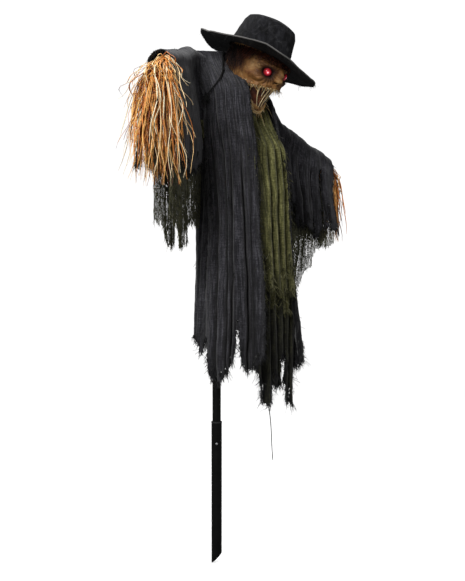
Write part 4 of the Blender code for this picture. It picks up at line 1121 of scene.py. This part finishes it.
def make_jaw():
    """The hanging lower jaw: a lumpy V-shaped band with a torn inner lip."""
    steps, sides = 110, 28
    turn = np.linspace(-pi / 2 - 0.12, pi / 2 + 0.12, steps)[:, None]
    line = jaw_line(np.clip(turn[:, 0], -pi / 2, pi / 2))
    line[:, 1] += np.maximum(np.abs(turn[:, 0]) - pi / 2, 0) * 0.05
    tangent = unit(np.gradient(line, axis=0))
    upward = unit(np.cross(unit(line - (0.0, -0.04, -0.0941)), tangent))
    upward *= np.sign(upward[:, 2:3] + 1e-9)
    outward = np.cross(tangent, upward)
    outward *= np.sign((outward * (line - (0.0, -0.02, -0.094))).sum(1, keepdims=True))
    spin = np.linspace(0, 2 * pi, sides, endpoint=False)[None, :]
    lump = 1 + 0.16 * rough(turn / 0.16, np.cos(spin) * 1.3, 571, 3)
    wide = (0.0052 + 0.0018 * np.cos(turn)) * lump
    tall = (0.01 + 0.0035 * np.maximum(np.cos(turn), 0)) * lump
    lip = 1 + 0.22 * np.maximum(np.sin(spin), 0) ** 3 * rough(turn / 0.05, spin * 0, 577, 2)
    points = (line[:, None] + outward[:, None] * (np.cos(spin) * wide)[..., None]
              + upward[:, None] * (np.sin(spin) * tall * lip)[..., None])
    u, v = grid(steps, sides)
    head_sheet("torn_jaw", points, (u * 0.03, v * 0.3), "jaw", "jaw", wrap=True)
    roots = np.repeat(head_place(line[8:-8] + outward[8:-8] * 0.004), 2, 0)
    roots = roots + RNG.normal(0, 0.0015, roots.shape)
    fuzz("jaw_fray", roots, RNG.exponential(0.008, len(roots)) + 0.003, 0.0004, "twine", "head")


def make_twine():
    """Strands of twine span the open mouth, from the upper lip to the jaw."""
    uppers = radians(68) * np.linspace(-1, 1, 17) + RNG.normal(0, 0.05, 17)
    lowers = radians(52) * np.linspace(-1, 1, 17) + RNG.normal(0, 0.22, 17)
    t = np.linspace(0, 1, 16)[:, None]
    paths = []
    for i, (a, b) in enumerate(zip(uppers, lowers)):
        top = round_head(a, -0.054 - 0.012 * smooth(0.2, 1.2, abs(a)), 0.99, 0.99)
        low = jaw_line(np.clip(b, -1.3, 1.3)) + (0.0, -0.006 * (i % 2), 0.008)
        sag = np.array((RNG.normal(0, 0.004), RNG.normal(0.004, 0.004), 0.0)) * np.sin(pi * t)
        paths.append(top * (1 - t) + low * t + sag)
    paths = head_place(np.stack(paths))
    thick = RNG.uniform(0.0011, 0.0018, (17, 1)) * np.linspace(0.8, 1.0, 16)
    lacing = strands("mouth_twine", paths, thick, "twine", "head", 6, RNG.uniform(0.55, 1.0, 17))
    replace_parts(lacing, "mouth_lacing")
    turn = np.linspace(-1.35, 1.35, 40)
    around = unit(jaw_line(turn) - (0.0, -0.03, -0.094))
    rim = jaw_line(turn) + around * 0.0075
    rim = rim + RNG.normal(0, 1, (11, 1, 3)) * (0.0012, 0.0012, 0.005)
    rim = rim + around * (0.003 * rough(turn[None] / 0.25, np.arange(11)[:, None] * 3.1, 583, 2))[..., None]
    strands("jaw_twine", head_place(rim), RNG.uniform(0.0009, 0.0016, (11, 1)), "twine", "head", 6,
            RNG.uniform(0.4, 1.0, 11))
    loose = paths + RNG.normal(0, 0.003, (17, 1, 3)) * np.sin(pi * t)
    strands("mouth_twine_fuzz", loose, 0.0005, "twine", "head")


def make_eyes():
    """Glowing lenses, each turned a little outwards."""
    for side, middle in EYES.items():
        u, v = grid(26, 40)
        around, down = 2 * pi * u, pi * v
        radius = EYE_RADIUS * (1 + 0.02 * np.cos(3 * around) * np.sin(down))
        ring = radius * np.sin(down)
        x, y, z = ring * np.cos(around), -radius * np.cos(down), ring * np.sin(around)
        c, s = cos(EYE_TURN), SIDES[side] * sin(EYE_TURN)
        head_sheet(f"{side}_glowing_eye", xyz(x * c - y * s, x * s + y * c, z) + middle, (u, v), "eye",
                   f"{side}_eye_lens")


def make_hair():
    """Long dark hair hangs from under the hat, round the sides and the back."""
    count, few = 1500, 700
    angle = RNG.uniform(radians(88), radians(272), count)
    level = under_hat(angle) + RNG.uniform(-0.014, 0.004, count)
    root = head_place(round_head(angle, level, 1.02, 1.02))
    outward = unit(root - head_place(np.array([0.0, -0.02, -0.01])))
    t = np.linspace(0, 1, 9)[:, None]
    length = RNG.uniform(0.045, 0.105, count)
    length = length * np.interp(angle, np.radians((88, 104, 180, 256, 272)), (0.62, 0.9, 1.05, 0.9, 0.62))
    curl = RNG.normal(0, 0.01, (count, 1, 3))
    clump = xyz(np.sin(angle * 17), np.cos(angle * 13), 0.0)[:, None] * 0.006
    paths = (root[:, None] + outward[:, None] * (0.004 + 0.012 * t * (1 - 0.4 * t))
             + length[:, None, None] * t * (0, 0.06, -1) + (curl + clump) * t ** 1.5)
    paths[..., 1] = np.minimum(paths[..., 1], 0.045)
    front = RNG.uniform(radians(-84), radians(84), few)
    brow = round_head(front, under_hat(front) + RNG.uniform(-0.006, 0.006, few), 1.04, 1.02)
    out = unit(brow * (1, 1, 0) - (0.0, -0.03, 0.0))[:, None]
    arch = (0.01 + 0.026 * smooth(0.85, 1.45, np.abs(front))) * RNG.uniform(0.6, 1.15, few)
    t7 = np.linspace(0, 1, 7)[:, None]
    lean = xyz(0.2 * np.sign(front), np.abs(front) * 0.25, -1)[:, None]
    fringe = brow[:, None] + arch[:, None, None] * t7 * lean + out * 0.007 * np.sin(pi * t7 * 0.6)
    fringe = fringe + RNG.normal(0, 0.004, (few, 1, 3)) * t7
    strands("hair_fringe", head_place(fringe), 0.0007, "fringe", "head")
    for side, chosen in (("right", np.sin(angle) < 0), ("left", np.sin(angle) >= 0)):
        width = 0.0006 * np.linspace(1, 0.35, 9) * RNG.uniform(0.7, 1.3, (chosen.sum(), 1))
        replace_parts(strands(f"hair_{side}", paths[chosen], width, "hair", "head"), f"{side}_hair")


# ---- hat
CROWN = np.array((0.087, 0.113, 0.112))
CROWN_Y = -0.024
# The crown's width and height, as shares, from its top down.
CROWN_PROFILE = table([(0, (0, 1)), (0.1, (0.34, 1.01)), (0.2, (0.6, 0.985)), (0.3, (0.775, 0.9)),
                       (0.42, (0.86, 0.74)), (0.6, (0.915, 0.48)), (0.8, (0.965, 0.2)), (1, (1, 0))])
# The brim's reach, and how far it rises, by degrees round the head.
BRIM_R = 0.196
BRIM_RISE = table([(0, -0.022), (30, -0.012), (60, -0.017), (75, -0.022), (90, -0.012), (120, -0.003),
                   (150, -0.005), (165, -0.008), (180, -0.004), (210, 0.003), (225, 0.005), (240, -0.006),
                   (270, -0.02), (285, -0.02), (300, -0.015), (315, -0.007), (345, -0.012), (360, -0.022)])


def make_hat():
    """The felt crown, dented on top."""
    u, v = grid(110, 240, wrap=True)
    angle = 2 * pi * u
    wide, high = np.moveaxis(CROWN_PROFILE(v), -1, 0)
    dent = 1 - 0.03 * bell(v, 0.1, 0.1) * np.cos(2 * angle) ** 2
    lump = 1 + 0.035 * rough(np.sin(angle) * 1.6, np.cos(angle) * 1.6 + v * 3, 601, 3) * smooth(0.0, 0.3, v)
    crown = xyz(CROWN[0] * wide * np.sin(angle) * lump, CROWN[1] * wide * np.cos(angle) * lump + CROWN_Y,
                0.002 + CROWN[2] * dent * high - 0.004 * (1 - v) ** 6)
    head_sheet("hat_crown_felt", crown, (u, v), "felt", "hat_crown", 0.0026, wrap=True, hat=True)


def brim_points(angle, v, lift=0.0):
    """The brim's top surface: v 0 at the crown, 1 at the rim."""
    inner_x, inner_y = CROWN[0] - 0.001, CROWN[1] - 0.001
    s, c = np.sin(angle), np.cos(angle)
    reach = BRIM_R + 0.004 * np.sin(3 * angle + 1.0) + 0.003 * rough(s * 4, c * 4, 613, 2)
    wave = 0.0015 * np.sin(5 * angle + 0.6) + 0.003 * rough(s * 3, c * 3, 611, 2)
    rise = BRIM_RISE(np.degrees(angle) % 360) + wave
    return xyz((inner_x + (reach - inner_x) * v) * s, CROWN_Y + (inner_y + (reach + 0.006 - inner_y) * v) * c,
               rise * v ** 1.35 + lift)


def make_brim():
    """The wavy brim, with a painted highlight along its edge, its stitching and its loose fibres."""
    u, v = grid(60, 300, wrap=True)
    angle = 2 * pi * u
    head_sheet("hat_brim_felt", brim_points(angle, v, 0.0006 * rough(angle / 0.08, v * 9, 617, 2)), (u, v),
               "felt", "hat_brim", 0.0028, 0.0, wrap=True, hat=True)
    turn = np.linspace(0, 2 * pi, 320)
    # The rim's tube is pale grey against the felt: a painted highlight along the brim's edge.
    for name, at, lift, radius, sides, pick in (("brim_edge_highlight", 1.0, 0.0, 0.0022, 10, 0.5),
                                                ("brim_stitching", 0.955, 0.0018, 0.0006, 5, 0.9)):
        line = head_place(brim_points(turn, np.full_like(turn, at), lift), hat=True)
        strands(name, line[None], radius, "edge", "head", sides, pick)
    loose = head_place(brim_points(RNG.uniform(0, 2 * pi, 420), np.ones(420)), hat=True)
    lengths = RNG.exponential(0.0035, 420) + 0.001
    fuzz("brim_fray", loose, lengths, 0.00028, "coat_fibre", "head", 4, 0.5)


# ---- put it together
def dress_cad_nodes():
    """Each CAD node takes the look of its material slot."""
    for part in frame["record"]["subparts"]:
        materials = frame["nodes"][part["node"]].data.materials
        materials.clear()
        materials.append(LOOKS[part["material_slot"]])


make_camera()
for name, values in LIGHTS.items():
    make_light(name, *values)
LOOKS = make_looks()
make_stage()
dress_cad_nodes()
make_back()
make_fronts()
make_collar()
make_sleeves()
make_sleeve_gauze()
make_green()
make_threads()
make_straw("right", 380, 0.03, 1.195, 0.08, 0.03)
make_straw("left", 150, 0.008, 1.08, 0.036, 0.018)
make_tie("right")
make_tie("left")
make_mask()
make_skull()
make_jaw()
make_twine()
make_eyes()
make_hair()
make_hat()
make_brim()
